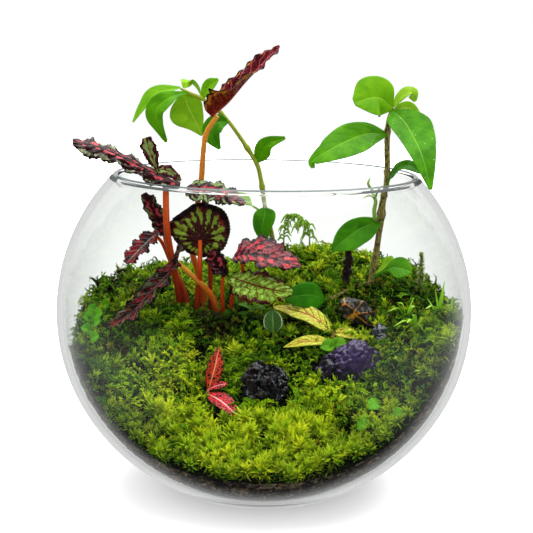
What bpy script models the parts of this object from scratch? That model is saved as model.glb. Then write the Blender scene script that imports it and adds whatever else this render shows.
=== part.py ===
"""Glass bowl planted as a terrarium.

A blown glass bowl holds a slope of soil under a carpet of moss. A begonia with jagged leaves, two
leafy vines, two small net-veined plants, sprigs, tufts, stones and a twig stand in the moss.
All places and sizes below are millimetres. The meshes are made in metres, with +Z up, the origin
at the middle of the bowl's foot and -Y towards the low, open front of the planting.
"""

import math
from dataclasses import dataclass

import bmesh
import bpy
import numpy as np
from mathutils import Euler, Matrix, Vector

MM = 0.001

# Bowl
BOWL_RADIUS = 125.0
FOOT_RADIUS = 55.2
WAIST_HEIGHT = 106.3
RIM_RADIUS = 90.3
RIM_HEIGHT = 190.1
WALL = 4.0
BASE_THICKNESS = 8.0
BOWL_SIDES = 36
FOOT_EDGE = 1.2
LIP_RISE = 0.2

# Planting
SEAT_GAP = 0.35
WALL_GAP = 1.0
FRONT_HEIGHT = 33.0
FRONT_REACH = 91.0
SLOPE = 0.62
BACK_HEIGHT = 112.0
BACK_RISE = 9.0
SIDE_LIFT = 48.0
SIDE_REACH = 108.0
LEFT_SHORE = 4.0
MOUND_HEIGHT = 9.0
MOUND_PLACE = (28.0, 62.0)
MOUND_REACH = 30.0
MOSS_DEPTH = 14.0
MOSS_EDGE = 4.0
CUSHION_HEIGHT = 1.6
BEND_LENGTH = 9.0
BED_SIDES = 40
ROOT_DEPTH = 17.0
HOLE_RISE = 25.0

# Leaves
BLADE = 0.8
LEAFLET_THICKNESS = 1.0
BEGONIA_STATIONS = 10
LEAST_HALF_WIDTH = 0.45


def lower_height():
    """Vertical half axis of the bowl's lower half, which meets the ground at the foot's radius."""
    return WAIST_HEIGHT / math.sqrt(1 - (FOOT_RADIUS / BOWL_RADIUS) ** 2)


def upper_height():
    """Vertical half axis of the bowl's upper half, which is cut off at the rim."""
    return (RIM_HEIGHT - WAIST_HEIGHT) / math.sqrt(1 - (RIM_RADIUS / BOWL_RADIUS) ** 2)


def wall_radius(z, inset):
    """Radius of the bowl's wall at height z, inset from the outside by that many millimetres."""
    half = (lower_height() if z < WAIST_HEIGHT else upper_height()) - inset
    share = min(1.0, abs(z - WAIST_HEIGHT) / half)
    return (BOWL_RADIUS - inset) * math.sqrt(1 - share * share)


def smooth(t):
    """Eases from 0 to 1 as t goes from 0 to 1."""
    t = min(1.0, max(0.0, t))
    return t * t * (3 - 2 * t)


def ground(x, y):
    """Height of the moss: a slope that levels out at the back and climbs the glass at the sides."""
    slope = FRONT_HEIGHT + SLOPE * (y + FRONT_REACH)
    level = BACK_HEIGHT + BACK_RISE * smooth((x + 30) / 70)
    height = level - BEND_LENGTH * math.log1p(math.exp((level - slope) / BEND_LENGTH))
    climb = (abs(x) / SIDE_REACH) ** (5 if x < 0 else 3)
    fade = (y + 38) / 10 if x < 0 else (y + 15) / 16
    height += SIDE_LIFT * climb / (1 + math.exp(fade))
    away = (x - MOUND_PLACE[0]) ** 2 + (y - MOUND_PLACE[1]) ** 2
    return height + MOUND_HEIGHT * math.exp(-away / MOUND_REACH**2)


def cushions(x, y):
    """The rounded cushions that the moss grows in, as a height above the smooth slope."""
    wave = math.sin(x / 6.3 + 1.1) * math.cos(y / 7.1) + 0.7 * math.sin((x + 1.7 * y) / 9.7)
    return CUSHION_HEIGHT * wave


def make_material(name, colour, roughness, metallic=0.0, transmission=0.0):
    """A Principled material with one finish."""
    material = bpy.data.materials.new(name)
    material.use_nodes = True
    shader = material.node_tree.nodes["Principled BSDF"]
    shader.inputs["Base Color"].default_value = (*colour, 1.0)
    shader.inputs["Roughness"].default_value = roughness
    shader.inputs["Metallic"].default_value = metallic
    shader.inputs["Transmission Weight"].default_value = transmission
    material.diffuse_color = (*colour, 1.0)
    return material


def make_object(name, points, faces, material=None, smooth_angle=0.6):
    """An object from points in millimetres and their faces, turned to face out."""
    mesh = bpy.data.meshes.new(name)
    mesh.from_pydata([Vector(p) * MM for p in points], [], faces)
    shell = bmesh.new()
    shell.from_mesh(mesh)
    bmesh.ops.remove_doubles(shell, verts=shell.verts, dist=0.00001)
    bmesh.ops.recalc_face_normals(shell, faces=shell.faces)
    shell.to_mesh(mesh)
    shell.free()
    mesh.shade_smooth()
    mesh.set_sharp_from_angle(angle=smooth_angle)
    if material is not None:
        mesh.materials.append(material)
    obj = bpy.data.objects.new(name, mesh)
    bpy.context.scene.collection.objects.link(obj)
    return obj


def apply_modifiers(obj):
    """Replaces the object's mesh by the mesh that its modifiers make."""
    bpy.context.view_layer.update()
    graph = bpy.context.evaluated_depsgraph_get()
    made = bpy.data.meshes.new_from_object(obj.evaluated_get(graph))
    obj.modifiers.clear()
    obj.data = made


def unite(name, shapes, material):
    """One closed body from several overlapping shapes, each given as its points and faces."""
    body = make_object(name, *shapes[0], material)
    others = bpy.data.collections.new(name + "_shapes")
    bpy.context.scene.collection.children.link(others)
    for points, faces in shapes[1:]:
        piece = make_object(name + "_shape", points, faces)
        bpy.context.scene.collection.objects.unlink(piece)
        others.objects.link(piece)
    union = body.modifiers.new("union", "BOOLEAN")
    union.operation = "UNION"
    union.operand_type = "COLLECTION"
    union.collection = others
    apply_modifiers(body)
    for piece in list(others.objects):
        bpy.data.objects.remove(piece)
    bpy.data.collections.remove(others)
    return body


def cut(obj, shapes):
    """Cuts the shapes, which lie clear of each other, out of the object."""
    points, faces = [], []
    for shape_points, shape_faces in shapes:
        start = len(points)
        points += list(shape_points)
        faces += [[start + i for i in face] for face in shape_faces]
    cutter = make_object(obj.name + "_cutter", points, faces)
    cutter.hide_render = True
    cutter.display_type = "WIRE"
    hollow = obj.modifiers.new("holes", "BOOLEAN")
    hollow.operation = "DIFFERENCE"
    hollow.object = cutter


def smooth_path(points, count):
    """Points spaced along a smooth curve through the given ones."""
    p = [Vector(q) for q in points]
    p = [p[0] * 2 - p[1], *p, p[-1] * 2 - p[-2]]
    spans = len(p) - 3
    path = []
    for k in range(count):
        place = k / (count - 1) * spans
        i = min(int(place), spans - 1)
        t = place - i
        a, b, c, d = p[i : i + 4]
        bend = a * (-t + 2 * t**2 - t**3) + b * (2 - 5 * t**2 + 3 * t**3)
        bend += c * (t + 4 * t**2 - 3 * t**3) + d * (t**3 - t**2)
        path.append(bend / 2)
    return path


def spread(values, t):
    """The value at t, from 0 to 1, of a smooth run through evenly spaced values."""
    place = t * (len(values) - 1)
    i = min(int(place), len(values) - 2)
    ease = smooth(place - i) * 0.5 + (place - i) * 0.5
    return values[i] + (values[i + 1] - values[i]) * ease


def tube(points, radii, sides=6, steps=None):
    """A round stem along the points, whose radius runs through the given radii."""
    steps = steps or 3 * len(points)
    path = smooth_path(points, steps)
    verts, faces = [], []
    side = None
    for k, centre in enumerate(path):
        ahead = path[min(k + 1, steps - 1)] - path[max(k - 1, 0)]
        ahead.normalize()
        if side is None:
            side = ahead.orthogonal()
        side = (side - ahead * side.dot(ahead)).normalized()
        other = ahead.cross(side)
        radius = spread(radii, k / (steps - 1))
        for j in range(sides):
            a = 2 * math.pi * j / sides
            verts.append(centre + side * radius * math.cos(a) + other * radius * math.sin(a))
    for k in range(steps - 1):
        for j in range(sides):
            a, b = k * sides + j, k * sides + (j + 1) % sides
            faces.append((a, b, b + sides, a + sides))
    faces.append(tuple(range(sides))[::-1])
    faces.append(tuple((steps - 1) * sides + j for j in range(sides)))
    return verts, faces


@dataclass
class Leaf:
    """A blade along a spine: half widths on each side, the way that its upper face looks, the fold
    of its halves at the base and at the tip, its turn about the spine and its waved edge."""

    spine: list
    face: tuple
    left: tuple
    right: tuple
    fold: tuple = (15, 15)
    turn: float = 0.0
    wave: float = 0.0
    waves: float = 4.0
    teeth: float = 0.0
    droop: float = 0.0
    stations: int = 7
    across: int = 2
    start: float = 0.0
    attach: float = 0.1


def leaf_frame(leaf, path, k):
    """The spine's direction, the blade's normal and its crosswise direction at a station."""
    last = len(path) - 1
    ahead = (path[min(k + 1, last)] - path[max(k - 1, 0)]).normalized()
    normal = Vector(leaf.face)
    normal = (normal - ahead * normal.dot(ahead)).normalized()
    normal = Matrix.Rotation(math.radians(leaf.turn * k / last), 3, ahead) @ normal
    return ahead, normal, ahead.cross(normal)


def leaf_path(leaf):
    """The spine's stations, with the first moved along it to clear the stem."""
    spine = [Vector(p) for p in leaf.spine]
    first = (spine[1] - spine[0]).normalized()
    spine[0] = spine[0] + first * leaf.start
    return smooth_path(spine, leaf.stations)


def leaf_sheet(leaf):
    """The blade's middle surface: a grid of points and the normal at each."""
    path = leaf_path(leaf)
    last = leaf.stations - 1
    grid, normals = [], []
    for k, centre in enumerate(path):
        t = k / last
        ahead, normal, cross = leaf_frame(leaf, path, k)
        fold = math.radians(leaf.fold[0] + (leaf.fold[1] - leaf.fold[0]) * t)
        row, row_normals = [], []
        for j in range(-leaf.across, leaf.across + 1):
            s = abs(j) / leaf.across
            side = 1 if j > 0 else -1
            out = cross * (side * math.cos(fold)) + normal * math.sin(fold)
            up = normal * math.cos(fold) - cross * (side * math.sin(fold))
            width = max(LEAST_HALF_WIDTH, spread(leaf.right if side > 0 else leaf.left, t))
            if leaf.teeth:
                width *= 1 + 0.09 * s * math.sin(2 * math.pi * leaf.teeth * t + side)
            ripple = leaf.wave * s * s * math.sin(2 * math.pi * leaf.waves * t + 2 * side)
            ripple *= smooth(width / 4) * smooth((1 - t) * 8)
            ripple -= leaf.droop * s * s * width
            row.append(centre + out * (width * s) + up * ripple)
            row_normals.append(up if j else normal)
        grid.append(row)
        normals.append(row_normals)
    return grid, normals


def leaf_shape(leaf):
    """The blade as a closed solid, split into triangles alike on both faces."""
    grid, normals = leaf_sheet(leaf)
    rows, columns = len(grid), len(grid[0])
    half = BLADE / 2
    verts = [p + n * half for row, ups in zip(grid, normals) for p, n in zip(row, ups)]
    verts += [p - n * half for row, ups in zip(grid, normals) for p, n in zip(row, ups)]
    under = rows * columns
    faces = []
    for k in range(rows - 1):
        for j in range(columns - 1):
            a = k * columns + j
            b, c, d = a + 1, a + columns + 1, a + columns
            split = [(a, b, c), (a, c, d)] if j < columns // 2 else [(a, b, d), (b, c, d)]
            faces += split
            faces += [tuple(under + i for i in reversed(face)) for face in split]
    edge = [j for j in range(columns)]
    edge += [k * columns + columns - 1 for k in range(1, rows)]
    edge += [(rows - 1) * columns + j for j in range(columns - 2, -1, -1)]
    edge += [k * columns for k in range(rows - 2, 0, -1)]
    for a, b in zip(edge, edge[1:] + edge[:1]):
        faces += [(a, under + b, b), (a, under + a, under + b)]
    return verts, faces


def leaf_seat(leaf, radius, origin):
    """Where a stem of that radius, which comes from the origin, ends under the leaf's blade."""
    path = leaf_path(leaf)
    k = round(leaf.attach * (len(path) - 1))
    _, normal, _ = leaf_frame(leaf, path, k)
    slope = (path[k] - Vector(origin)).normalized().dot(normal)
    reach = radius * math.sqrt(max(0.0, 1 - slope * slope))
    return path[k] - normal * (reach + BLADE / 2 + SEAT_GAP)


def hull(points):
    """The closed convex shape round the points."""
    shape = bmesh.new()
    for p in points:
        shape.verts.new(p)
    made = bmesh.ops.convex_hull(shape, input=shape.verts)
    spare = [v for v in made["geom_interior"] if isinstance(v, bmesh.types.BMVert)]
    bmesh.ops.delete(shape, geom=spare, context="VERTS")
    shape.verts.index_update()
    verts = [v.co.copy() for v in shape.verts]
    faces = [tuple(v.index for v in f.verts) for f in shape.faces]
    shape.free()
    return verts, faces


def stone(centre, half, seed, points=26, tilt=(0, 0, 0)):
    """A broken stone: the hull of points scattered over a squared-off ball."""
    draw = np.random.default_rng(seed)
    turn = Euler([math.radians(a) for a in tilt]).to_matrix()
    cloud = []
    for _ in range(points):
        d = Vector(draw.normal(size=3)).normalized()
        d = Vector([math.copysign(abs(c) ** 0.8, c) for c in d])
        d *= draw.uniform(0.92, 1.06)
        cloud.append(Vector(centre) + turn @ Vector([a * b for a, b in zip(d, half)]))
    return hull(cloud)


def grown(shape, gap):
    """A convex shape made larger all round by at least the gap, for its pocket."""
    points, faces = shape
    centre = sum((Vector(p) for p in points), Vector()) / len(points)
    least = min((Vector(p) - centre).length for p in points) * 0.62
    return [centre + (Vector(p) - centre) * (1 + gap / least) for p in points], faces


def cylinder(x, y, low, high, radius, sides=8):
    """An upright plain cylinder."""
    turns = [2 * math.pi * j / sides for j in range(sides)]
    ring = [(x + radius * math.cos(a), y + radius * math.sin(a)) for a in turns]
    verts = [Vector((*place, z)) for z in (low, high) for place in ring]
    faces = [(j, (j + 1) % sides, sides + (j + 1) % sides, sides + j) for j in range(sides)]
    return verts, [*faces, tuple(range(sides))[::-1], tuple(range(sides, 2 * sides))]


# Rooted pieces: each one's place, and its root's radius and length below the moss

ROOTS = {
    "vine_left": (7, 57, 1.7, ROOT_DEPTH),
    "vine_right": (69, 42, 2.1, ROOT_DEPTH),
    "twig": (52, 38, 2.6, ROOT_DEPTH),
    "yellow_net": (43, -10, 1.0, 10),
    "red_net": (-32, -44, 1.0, 10),
    "pale_edged": (6, -1, 0.9, 10),
    "leafy_shoot": (-8, 12, 1.0, 10),
    "round_leaf_sprig": (47, -14, 0.9, 10),
    "creeper": (-106, 2, 1.0, 9),
    "lobed_1": (66, -59, 0.9, 9),
    "lobed_2": (60, -67, 0.9, 9),
    "lobed_3": (72, -71, 0.9, 9),
    "fern_1": (14, 88, 1.0, 10),
    "fern_2": (30, 79, 1.0, 10),
    "tuft_1": (105, -14, 1.6, 9),
    "tuft_2": (88, 4, 1.6, 10),
    "tuft_3": (91, -13, 1.6, 10),
    "spike": (101, 36, 1.3, 9),
}


def above(x, y, height):
    """A point that far above the moss's cushions."""
    return (x, y, ground(x, y) + cushions(x, y) + height)


def root_points(name):
    """The foot and the top of a root, at its blind hole's floor and at the moss."""
    x, y, _, depth = ROOTS[name]
    top = ground(x, y)
    return (x, y, top - depth), (x, y, top - depth / 2), above(x, y, 1)


def root_hole(name):
    """The plain round hole that a root stands in."""
    x, y, radius, depth = ROOTS[name]
    low = ground(x, y) - depth - SEAT_GAP
    return cylinder(x, y, low, low + depth + HOLE_RISE, (radius + SEAT_GAP) / math.cos(math.pi / 8))


# Begonia: a creeping stem half sunk in the moss, and a petiole for each leaf

RHIZOME = [(-54, 24, 96.5), (-40, 20, 96.5), (-26, 19, 96.5), (-14, 22, 96.5)]
RHIZOME_RADIUS = 4.4

BEGONIA = {
    1: Leaf(
        [(-33, 12.5, 222), (-23, 11, 231), (-13, 8, 243), (-2, 6, 255), (7, 4, 265)],
        face=(-0.72, 0.1, 0.69),
        left=(3, 11, 13, 10, 9, 8, 5, 1),
        right=(6, 17, 17, 13, 10, 9, 8, 1),
        fold=(62, 12),
        turn=48,
        wave=1.6,
        waves=3.5,
        teeth=6,
        attach=0.06,
    ),
    2: Leaf(
        [(-52, 9, 181), (-70, 4, 190), (-87, -1, 199), (-101, -4, 205), (-114, -8, 208)],
        face=(0.25, -0.5, 0.8),
        left=(3, 8, 8, 7, 7, 9, 9, 3),
        right=(3, 9, 11, 11, 11, 10, 8, 3),
        fold=(-22, -20),
        wave=1.6,
        waves=5,
        teeth=7,
        attach=0.11,
    ),
    3: Leaf(
        [(-48, 10, 178), (-35, 9, 178), (-24, 6, 176), (-12, 2, 171)],
        face=(0.1, -0.3, 0.95),
        left=(6, 10, 10, 9, 7, 2),
        right=(6, 12, 12, 10, 8, 2),
        fold=(8, 0),
        wave=2.4,
        waves=3.5,
        teeth=5,
        droop=0.15,
        attach=0.3,
    ),
    4: Leaf(
        [(-42, 7, 138), (-39.5, 7.5, 148), (-39, 9, 160), (-41, 11, 170)],
        face=(0.05, 0.93, 0.2),
        left=(5, 13, 17, 18, 17, 12, 3),
        right=(6, 16, 20, 22, 22, 18, 4),
        fold=(12, 12),
        wave=1.2,
        waves=4,
        teeth=6,
        attach=0.32,
    ),
    5: Leaf(
        [(-63.5, 22, 148), (-66, 22, 157), (-71, 19, 167), (-75.5, 16, 175)],
        face=(-0.35, -0.65, 0.65),
        left=(2, 5, 5, 5, 4, 2),
        right=(2, 6, 7, 6, 5, 2),
        fold=(25, 10),
        wave=1.4,
        waves=3,
        teeth=5,
        attach=0.1,
    ),
    6: Leaf(
        [(-65, 9, 152), (-71, 6, 147), (-77, 2, 141), (-84, -2, 134)],
        face=(-0.45, -0.55, 0.72),
        left=(2, 8, 9, 8, 7, 3),
        right=(2, 7, 8, 8, 7, 3),
        fold=(18, 8),
        wave=1.5,
        waves=3.5,
        teeth=6,
        attach=0.1,
    ),
    7: Leaf(
        [
            (-51, 3, 145),
            (-54, 3, 134),
            (-60, 2, 126),
            (-69.5, 1, 116),
            (-79.5, 1, 104.5),
            (-89, 1, 97.5),
            (-99, 2, 92),
        ],
        face=(-0.35, -0.72, 0.62),
        left=(3, 4, 7, 10, 10, 9, 7, 5, 1),
        right=(2, 3, 5, 7, 7, 7, 6, 4, 1),
        fold=(40, 15),
        wave=2.0,
        waves=6,
        teeth=9,
        attach=0.16,
    ),
    8: Leaf(
        [(-23.5, 8, 126), (-30, 4.5, 134), (-34, 1, 142)],
        face=(0.35, -0.82, 0.45),
        left=(2, 6, 7, 6, 2),
        right=(2, 6, 7, 6, 2),
        fold=(25, 15),
        wave=1.3,
        waves=2.5,
        teeth=4,
        attach=0.1,
    ),
    9: Leaf(
        [(-19, 14, 136), (-9, 10, 139), (6, 2, 137), (22, -6, 134)],
        face=(0.12, -0.5, 0.86),
        left=(5, 12, 17, 17, 14, 9, 1),
        right=(5, 10, 12, 12, 11, 7, 1),
        fold=(10, 4),
        wave=1.8,
        waves=4,
        teeth=7,
        attach=0.14,
    ),
    10: Leaf(
        [(-20, 11, 124), (-8, 5, 121), (5, -1, 119), (17, -5, 118)],
        face=(0.1, -0.62, 0.78),
        left=(3, 7, 10, 10, 8, 6, 2),
        right=(5, 11, 13, 13, 11, 7, 2),
        fold=(6, 4),
        wave=1.6,
        waves=3.5,
        teeth=7,
        attach=0.14,
    ),
}

PETIOLES = {
    1: [
        (-38, 20, 97),
        (-38, 23, 107),
        (-42, 25, 125),
        (-46, 26, 140),
        (-43.5, 26, 161),
        (-40, 23, 182),
        (-38.5, 18, 200),
        (-36.5, 15, 212),
    ],
    2: [(-53, 23, 97), (-54, 19, 114), (-57, 14, 132), (-59, 9, 146), (-60, 5, 160)],
    3: [(-34, 20, 97), (-34, 21, 127), (-37, 21, 150), (-39, 20, 165)],
    4: [(-43, 20, 97), (-41, 15, 115), (-39.5, 4, 131)],
    5: [(-49, 22, 97), (-51, 22, 113), (-59, 22, 132)],
    6: [(-47, 21, 97), (-50, 20, 113), (-58, 17, 131), (-63, 13, 144)],
    7: [(-27, 19, 97), (-34, 14, 113), (-42, 7.5, 123)],
    8: [(-25, 19, 97), (-26, 14, 108)],
    9: [(-16, 21, 97), (-13, 22, 118)],
    10: [(-20, 20, 97), (-20, 16, 110)],
}
PETIOLE_RADII = {1: (2.0, 1.8, 1.5), 2: (2.1, 2.2, 1.9), 4: (1.9, 1.7, 1.2), 7: (1.9, 1.7, 1.3)}
SLIM_PETIOLE = (1.5, 1.3, 1.0)
YOUNG_SHOOTS = [
    [(-46, 21, 97), (-49, 21, 108), (-52, 20, 119)],
    [(-31, 19, 97), (-32, 18, 106), (-33, 17, 114)],
]

# Basal lobes of the second leaf: one stands up, the other curls away to the right
LOBE_UP = Leaf(
    [(-65, 6, 189), (-67, 5, 194), (-70, 4, 202), (-72, 3, 210)],
    face=(0.2, -0.9, 0.4),
    left=(1, 2, 4.5, 5.5, 3),
    right=(1, 2, 4.5, 5, 3),
    across=1,
    fold=(30, 15),
    wave=0.9,
    waves=2.5,
    teeth=4,
    stations=7,
)
LOBE_RIGHT = Leaf(
    [(-67, 6, 189), (-62, 10, 190), (-57, 14, 187), (-52, 16, 183)],
    face=(0.3, -0.85, 0.45),
    left=(2, 3, 4, 3, 1),
    right=(2, 4, 4, 3, 1),
    across=1,
    fold=(10, 10),
    wave=0.9,
    waves=3,
    teeth=5,
)
LOBES = {2: (LOBE_UP, LOBE_RIGHT)}


# Vines: their stems, and ovate leaves given by a spine, a face and half widths

VINE_LEFT = [
    (5, 55, 141),
    (0, 52, 162),
    (-3, 50, 180),
    (-6, 49, 191),
    (-13.5, 47, 203),
    (-23, 44, 216.5),
    (-32, 43, 226),
    (-41, 42, 232),
    (-48, 41, 235),
    (-54, 40, 238),
]
VINE_LEFT_RADII = (1.7, 1.7, 1.5, 1.4, 1.5, 1.2, 1.2, 1.2, 1.0, 0.8)
VINE_RIGHT = [
    (71, 41, 129),
    (72.5, 38, 144),
    (73.5, 36, 156),
    (74, 32, 168),
    (75, 27, 179),
    (75, 23, 192),
    (74, 19, 206),
    (74, 16, 220),
    (76, 14, 229),
]
VINE_RIGHT_RADII = (2.1, 2.1, 1.9, 2.4, 1.9, 1.7, 1.8, 1.5, 1.1)
RUNNER = [(69, 42, 116), (56, 36, 113), (46, 28, 109.5), (39, 20, 108.5)]
SIDE_SHOOT = [(73.5, 33, 164), (69, 33, 164), (69.5, 31, 171), (66, 30, 178)]
PALE_TWIG = [(-1, 52, 159), (-6, 53, 162), (-9, 53, 164)]

OVATE = (1, 5, 6.5, 5, 1)

VINE_LEAVES = {
    "vine_left_leaf_1": Leaf(
        [(-54, 40, 238.5), (-69, 38, 235), (-76, 36, 227), (-83, 34, 217)],
        face=(-0.6, -0.5, 0.62),
        left=(1, 5, 7, 6, 4, 1),
        right=(1, 5, 7, 6, 4, 1),
        start=0.9,
    ),
    "vine_left_leaf_2": Leaf(
        [
            (-49.8, 39.7, 235.5),
            (-59.5, 30, 233),
            (-67.5, 26, 225.5),
            (-66.5, 25, 216.5),
            (-61.5, 25, 205.5),
        ],
        face=(-0.4, -0.85, 0.2),
        left=(1, 3, 6, 7, 5, 3, 1),
        right=(1, 3, 6, 7, 6, 3, 1),
        start=1.2,
        stations=9,
    ),
    "vine_left_leaf_3": Leaf(
        [(-52, 41.2, 236.3), (-49.8, 46, 227), (-45.3, 47, 218), (-40.5, 46, 208.5)],
        face=(0.15, -0.96, 0.3),
        left=(1, 8, 9, 7, 4, 1),
        right=(1, 10, 14, 12, 6, 1),
        fold=(6, 8),
        start=0.6,
    ),
    "vine_left_leaf_4": Leaf(
        [(-40, 42, 231.8), (-36.5, 41.5, 239), (-30.5, 41, 244)],
        face=(-0.5, -0.8, 0.3),
        left=(1, 4, 4.5, 1),
        right=(1, 4, 4.5, 1),
        start=1.8,
        stations=6,
    ),
    "vine_left_leaf_5": Leaf(
        [(-24, 43.5, 218), (-31, 38, 217), (-34, 36, 210), (-29, 34, 201)],
        face=(-0.2, -0.95, 0.2),
        left=OVATE,
        right=OVATE,
        start=2.6,
    ),
    "vine_left_leaf_6": Leaf(
        [(-5.5, 48.5, 192), (-2.5, 46, 198), (1.5, 44, 204), (12, 43, 208)],
        face=(-0.1, -0.9, 0.42),
        left=(1, 5, 6, 4, 1),
        right=(1, 5, 6, 4, 1),
        start=2.0,
    ),
    "vine_left_leaf_7": Leaf(
        [(0, 51.5, 163), (-0.5, 47.5, 158), (-1.5, 45, 150), (0.5, 44, 140)],
        face=(-0.1, -0.95, 0.3),
        left=(1, 7, 7.5, 5, 1),
        right=(1, 6, 7, 5, 1),
        start=2.2,
    ),
    "vine_left_leaf_8": Leaf(
        [(-9, 53, 164), (-13, 54, 167), (-19, 55, 171)],
        face=(0.1, -0.8, 0.55),
        left=(0.8, 3, 3.5, 1),
        right=(0.8, 3, 3.5, 1),
        start=0.5,
        stations=6,
    ),
    "vine_left_leaf_9": Leaf(
        [(-52, 41.6, 238.3), (-49.5, 44.5, 242), (-45, 45.5, 239), (-41.5, 46, 233.5)],
        face=(0.4, 0.2, 0.9),
        left=(1, 4.5, 6, 4, 1),
        right=(1, 4.5, 6, 4, 1),
        stations=6,
    ),
    "vine_right_leaf_1": Leaf(
        [(76, 13.5, 229), (66, 9, 235), (52, 4, 232)],
        face=(-0.1, -0.85, 0.5),
        left=(2, 10, 13, 11.5, 2),
        right=(2, 11, 14.5, 12.5, 3),
        fold=(10, 10),
        start=1.6,
        droop=0.1,
    ),
    "vine_right_leaf_2": Leaf(
        [(76.3, 14.2, 229.4), (82, 15, 236), (87, 16, 238.5), (90, 17, 233)],
        face=(-0.3, -0.5, 0.8),
        left=(1, 4, 5, 4, 1),
        right=(1, 4, 5, 4, 1),
        start=0.9,
    ),
    "vine_right_leaf_3": Leaf(
        [
            (75.8, 13.8, 227.6),
            (81.8, 2, 221.5),
            (86.3, -10, 213),
            (90.2, -24, 202.5),
            (94, -36, 185.5),
        ],
        face=(0.1, -0.9, 0.42),
        left=(1, 9, 14, 13, 10, 6, 1),
        right=(1, 9, 10.5, 9, 8, 5, 1),
        fold=(12, 6),
        start=1.3,
        stations=10,
    ),
    "vine_right_leaf_4": Leaf(
        [
            (74, 16.5, 213),
            (61, 8, 213.5),
            (48.5, -2, 210),
            (36.2, -12, 204.5),
            (27, -17, 199),
            (27.5, -18, 195),
        ],
        face=(-0.1, -0.8, 0.6),
        left=(1, 8, 12.5, 12, 7, 3, 1),
        right=(1, 8, 11, 9, 5, 2, 1),
        fold=(10, 6),
        start=2.0,
        stations=11,
    ),
    "vine_right_leaf_5": Leaf(
        [(75.5, 25, 180), (78, 14, 190), (85, 3, 195.5), (92, -9, 192)],
        face=(-0.15, -0.5, 0.85),
        left=(1, 2, 4, 4, 3, 1),
        right=(1, 2, 8, 9, 5, 1),
        start=2.6,
    ),
    "vine_right_leaf_6": Leaf(
        [(74, 35, 158), (61, 30, 153), (51, 25, 147), (42, 21, 140)],
        face=(-0.1, -0.9, 0.42),
        left=(1, 9, 10.5, 9, 1),
        right=(1, 6.5, 8.5, 6.5, 1),
        start=2.7,
    ),
    "vine_right_leaf_7": Leaf(
        [(70, 40.5, 119.5), (80, 35, 126.5), (87, 33, 127), (94, 31, 125.5)],
        face=(0.1, -0.8, 0.6),
        left=(1, 1.5, 7, 7.5, 2),
        right=(1, 1.5, 7, 7.5, 2),
        start=2.5,
        droop=0.1,
    ),
    "vine_right_leaf_8": Leaf(
        [(71.5, 42, 121), (79, 44, 127), (83, 45, 133)],
        face=(-0.4, -0.8, 0.4),
        left=(1, 2, 4, 1),
        right=(1, 2, 4, 1),
        start=1.4,
        stations=6,
    ),
    "vine_right_leaf_9": Leaf(
        [(38.5, 19, 109), (27, 13, 113), (13, 10, 111)],
        face=(0.0, -0.62, 0.78),
        left=(1, 8, 8.5, 7, 2),
        right=(1, 8, 8.5, 7, 2),
        fold=(6, 6),
        start=1.2,
        droop=0.12,
    ),
    "vine_right_leaf_10": Leaf(
        [(75.3, 15.2, 225.6), (85, 20, 229.5), (93.5, 21, 225)],
        face=(-0.1, -0.85, 0.5),
        left=(1, 3, 3.5, 1),
        right=(1, 3, 3.5, 1),
        start=1.6,
        stations=6,
    ),
}


# Bowl, soil and moss


def arc_points(low, high, inset, steps):
    """Points up the bowl's wall between two heights, at that inset, evenly spaced by angle."""
    points = []
    half = (lower_height() if high <= WAIST_HEIGHT else upper_height()) - inset
    start = math.asin((low - WAIST_HEIGHT) / half)
    end = math.asin((high - WAIST_HEIGHT) / half)
    for k in range(steps + 1):
        a = start + (end - start) * k / steps
        points.append(((BOWL_RADIUS - inset) * math.cos(a), WAIST_HEIGHT + half * math.sin(a)))
    return points


def revolve(profile, sides):
    """Turns a profile, from the axis out, up, and back to the axis, into a closed shape."""
    verts = [Vector((0, 0, profile[0][1]))]
    for radius, z in profile[1:-1]:
        for j in range(sides):
            a = 2 * math.pi * j / sides
            verts.append(Vector((radius * math.cos(a), radius * math.sin(a), z)))
    verts.append(Vector((0, 0, profile[-1][1])))
    rings = len(profile) - 2
    faces = [(0, 1 + (j + 1) % sides, 1 + j) for j in range(sides)]
    for k in range(rings - 1):
        for j in range(sides):
            a, b = 1 + k * sides + j, 1 + k * sides + (j + 1) % sides
            faces.append((a, b, b + sides, a + sides))
    end, top = 1 + (rings - 1) * sides, len(verts) - 1
    faces += [(end + j, end + (j + 1) % sides, top) for j in range(sides)]
    return verts, faces


def build_bowl():
    """The glass: a flat foot, a round belly, a drawn-in rim and a wall of even thickness."""
    outside = [(0, 0), (FOOT_RADIUS - FOOT_EDGE, 0)] + arc_points(FOOT_EDGE, WAIST_HEIGHT, 0, 6)
    outside += arc_points(WAIST_HEIGHT, RIM_HEIGHT - WALL / 3, 0, 4)[1:]
    inner_rim = wall_radius(RIM_HEIGHT, WALL)
    top = RIM_HEIGHT + LIP_RISE
    lip = [(RIM_RADIUS - WALL * 0.2, top), (inner_rim + WALL * 0.25, top)]
    inside = arc_points(WAIST_HEIGHT, RIM_HEIGHT - WALL / 3, WALL, 5)[::-1]
    inside += arc_points(BASE_THICKNESS, WAIST_HEIGHT, WALL, 8)[-2::-1]
    profile = outside + lip + inside + [(0, BASE_THICKNESS)]
    glass = make_material("clear_glass", (0.93, 0.97, 0.95), 0.02, transmission=1.0)
    return make_object("glass_bowl", *revolve(profile, BOWL_SIDES), glass)


def wall_meeting(angle, lift, shore=0.0):
    """Where the moss, raised by lift, meets the inside of the glass in that direction. A shore
    keeps its face away from the glass at the left, where it grows thin."""
    gap = WALL_GAP + shore * max(0.0, -math.sin(angle)) ** 6
    radius = BOWL_RADIUS - 20
    for _ in range(40):
        z = ground(radius * math.sin(angle), -radius * math.cos(angle)) + lift
        z = max(z, BASE_THICKNESS + 4)
        radius = 0.5 * radius + 0.5 * (wall_radius(z, WALL) - gap)
    return radius


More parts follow.
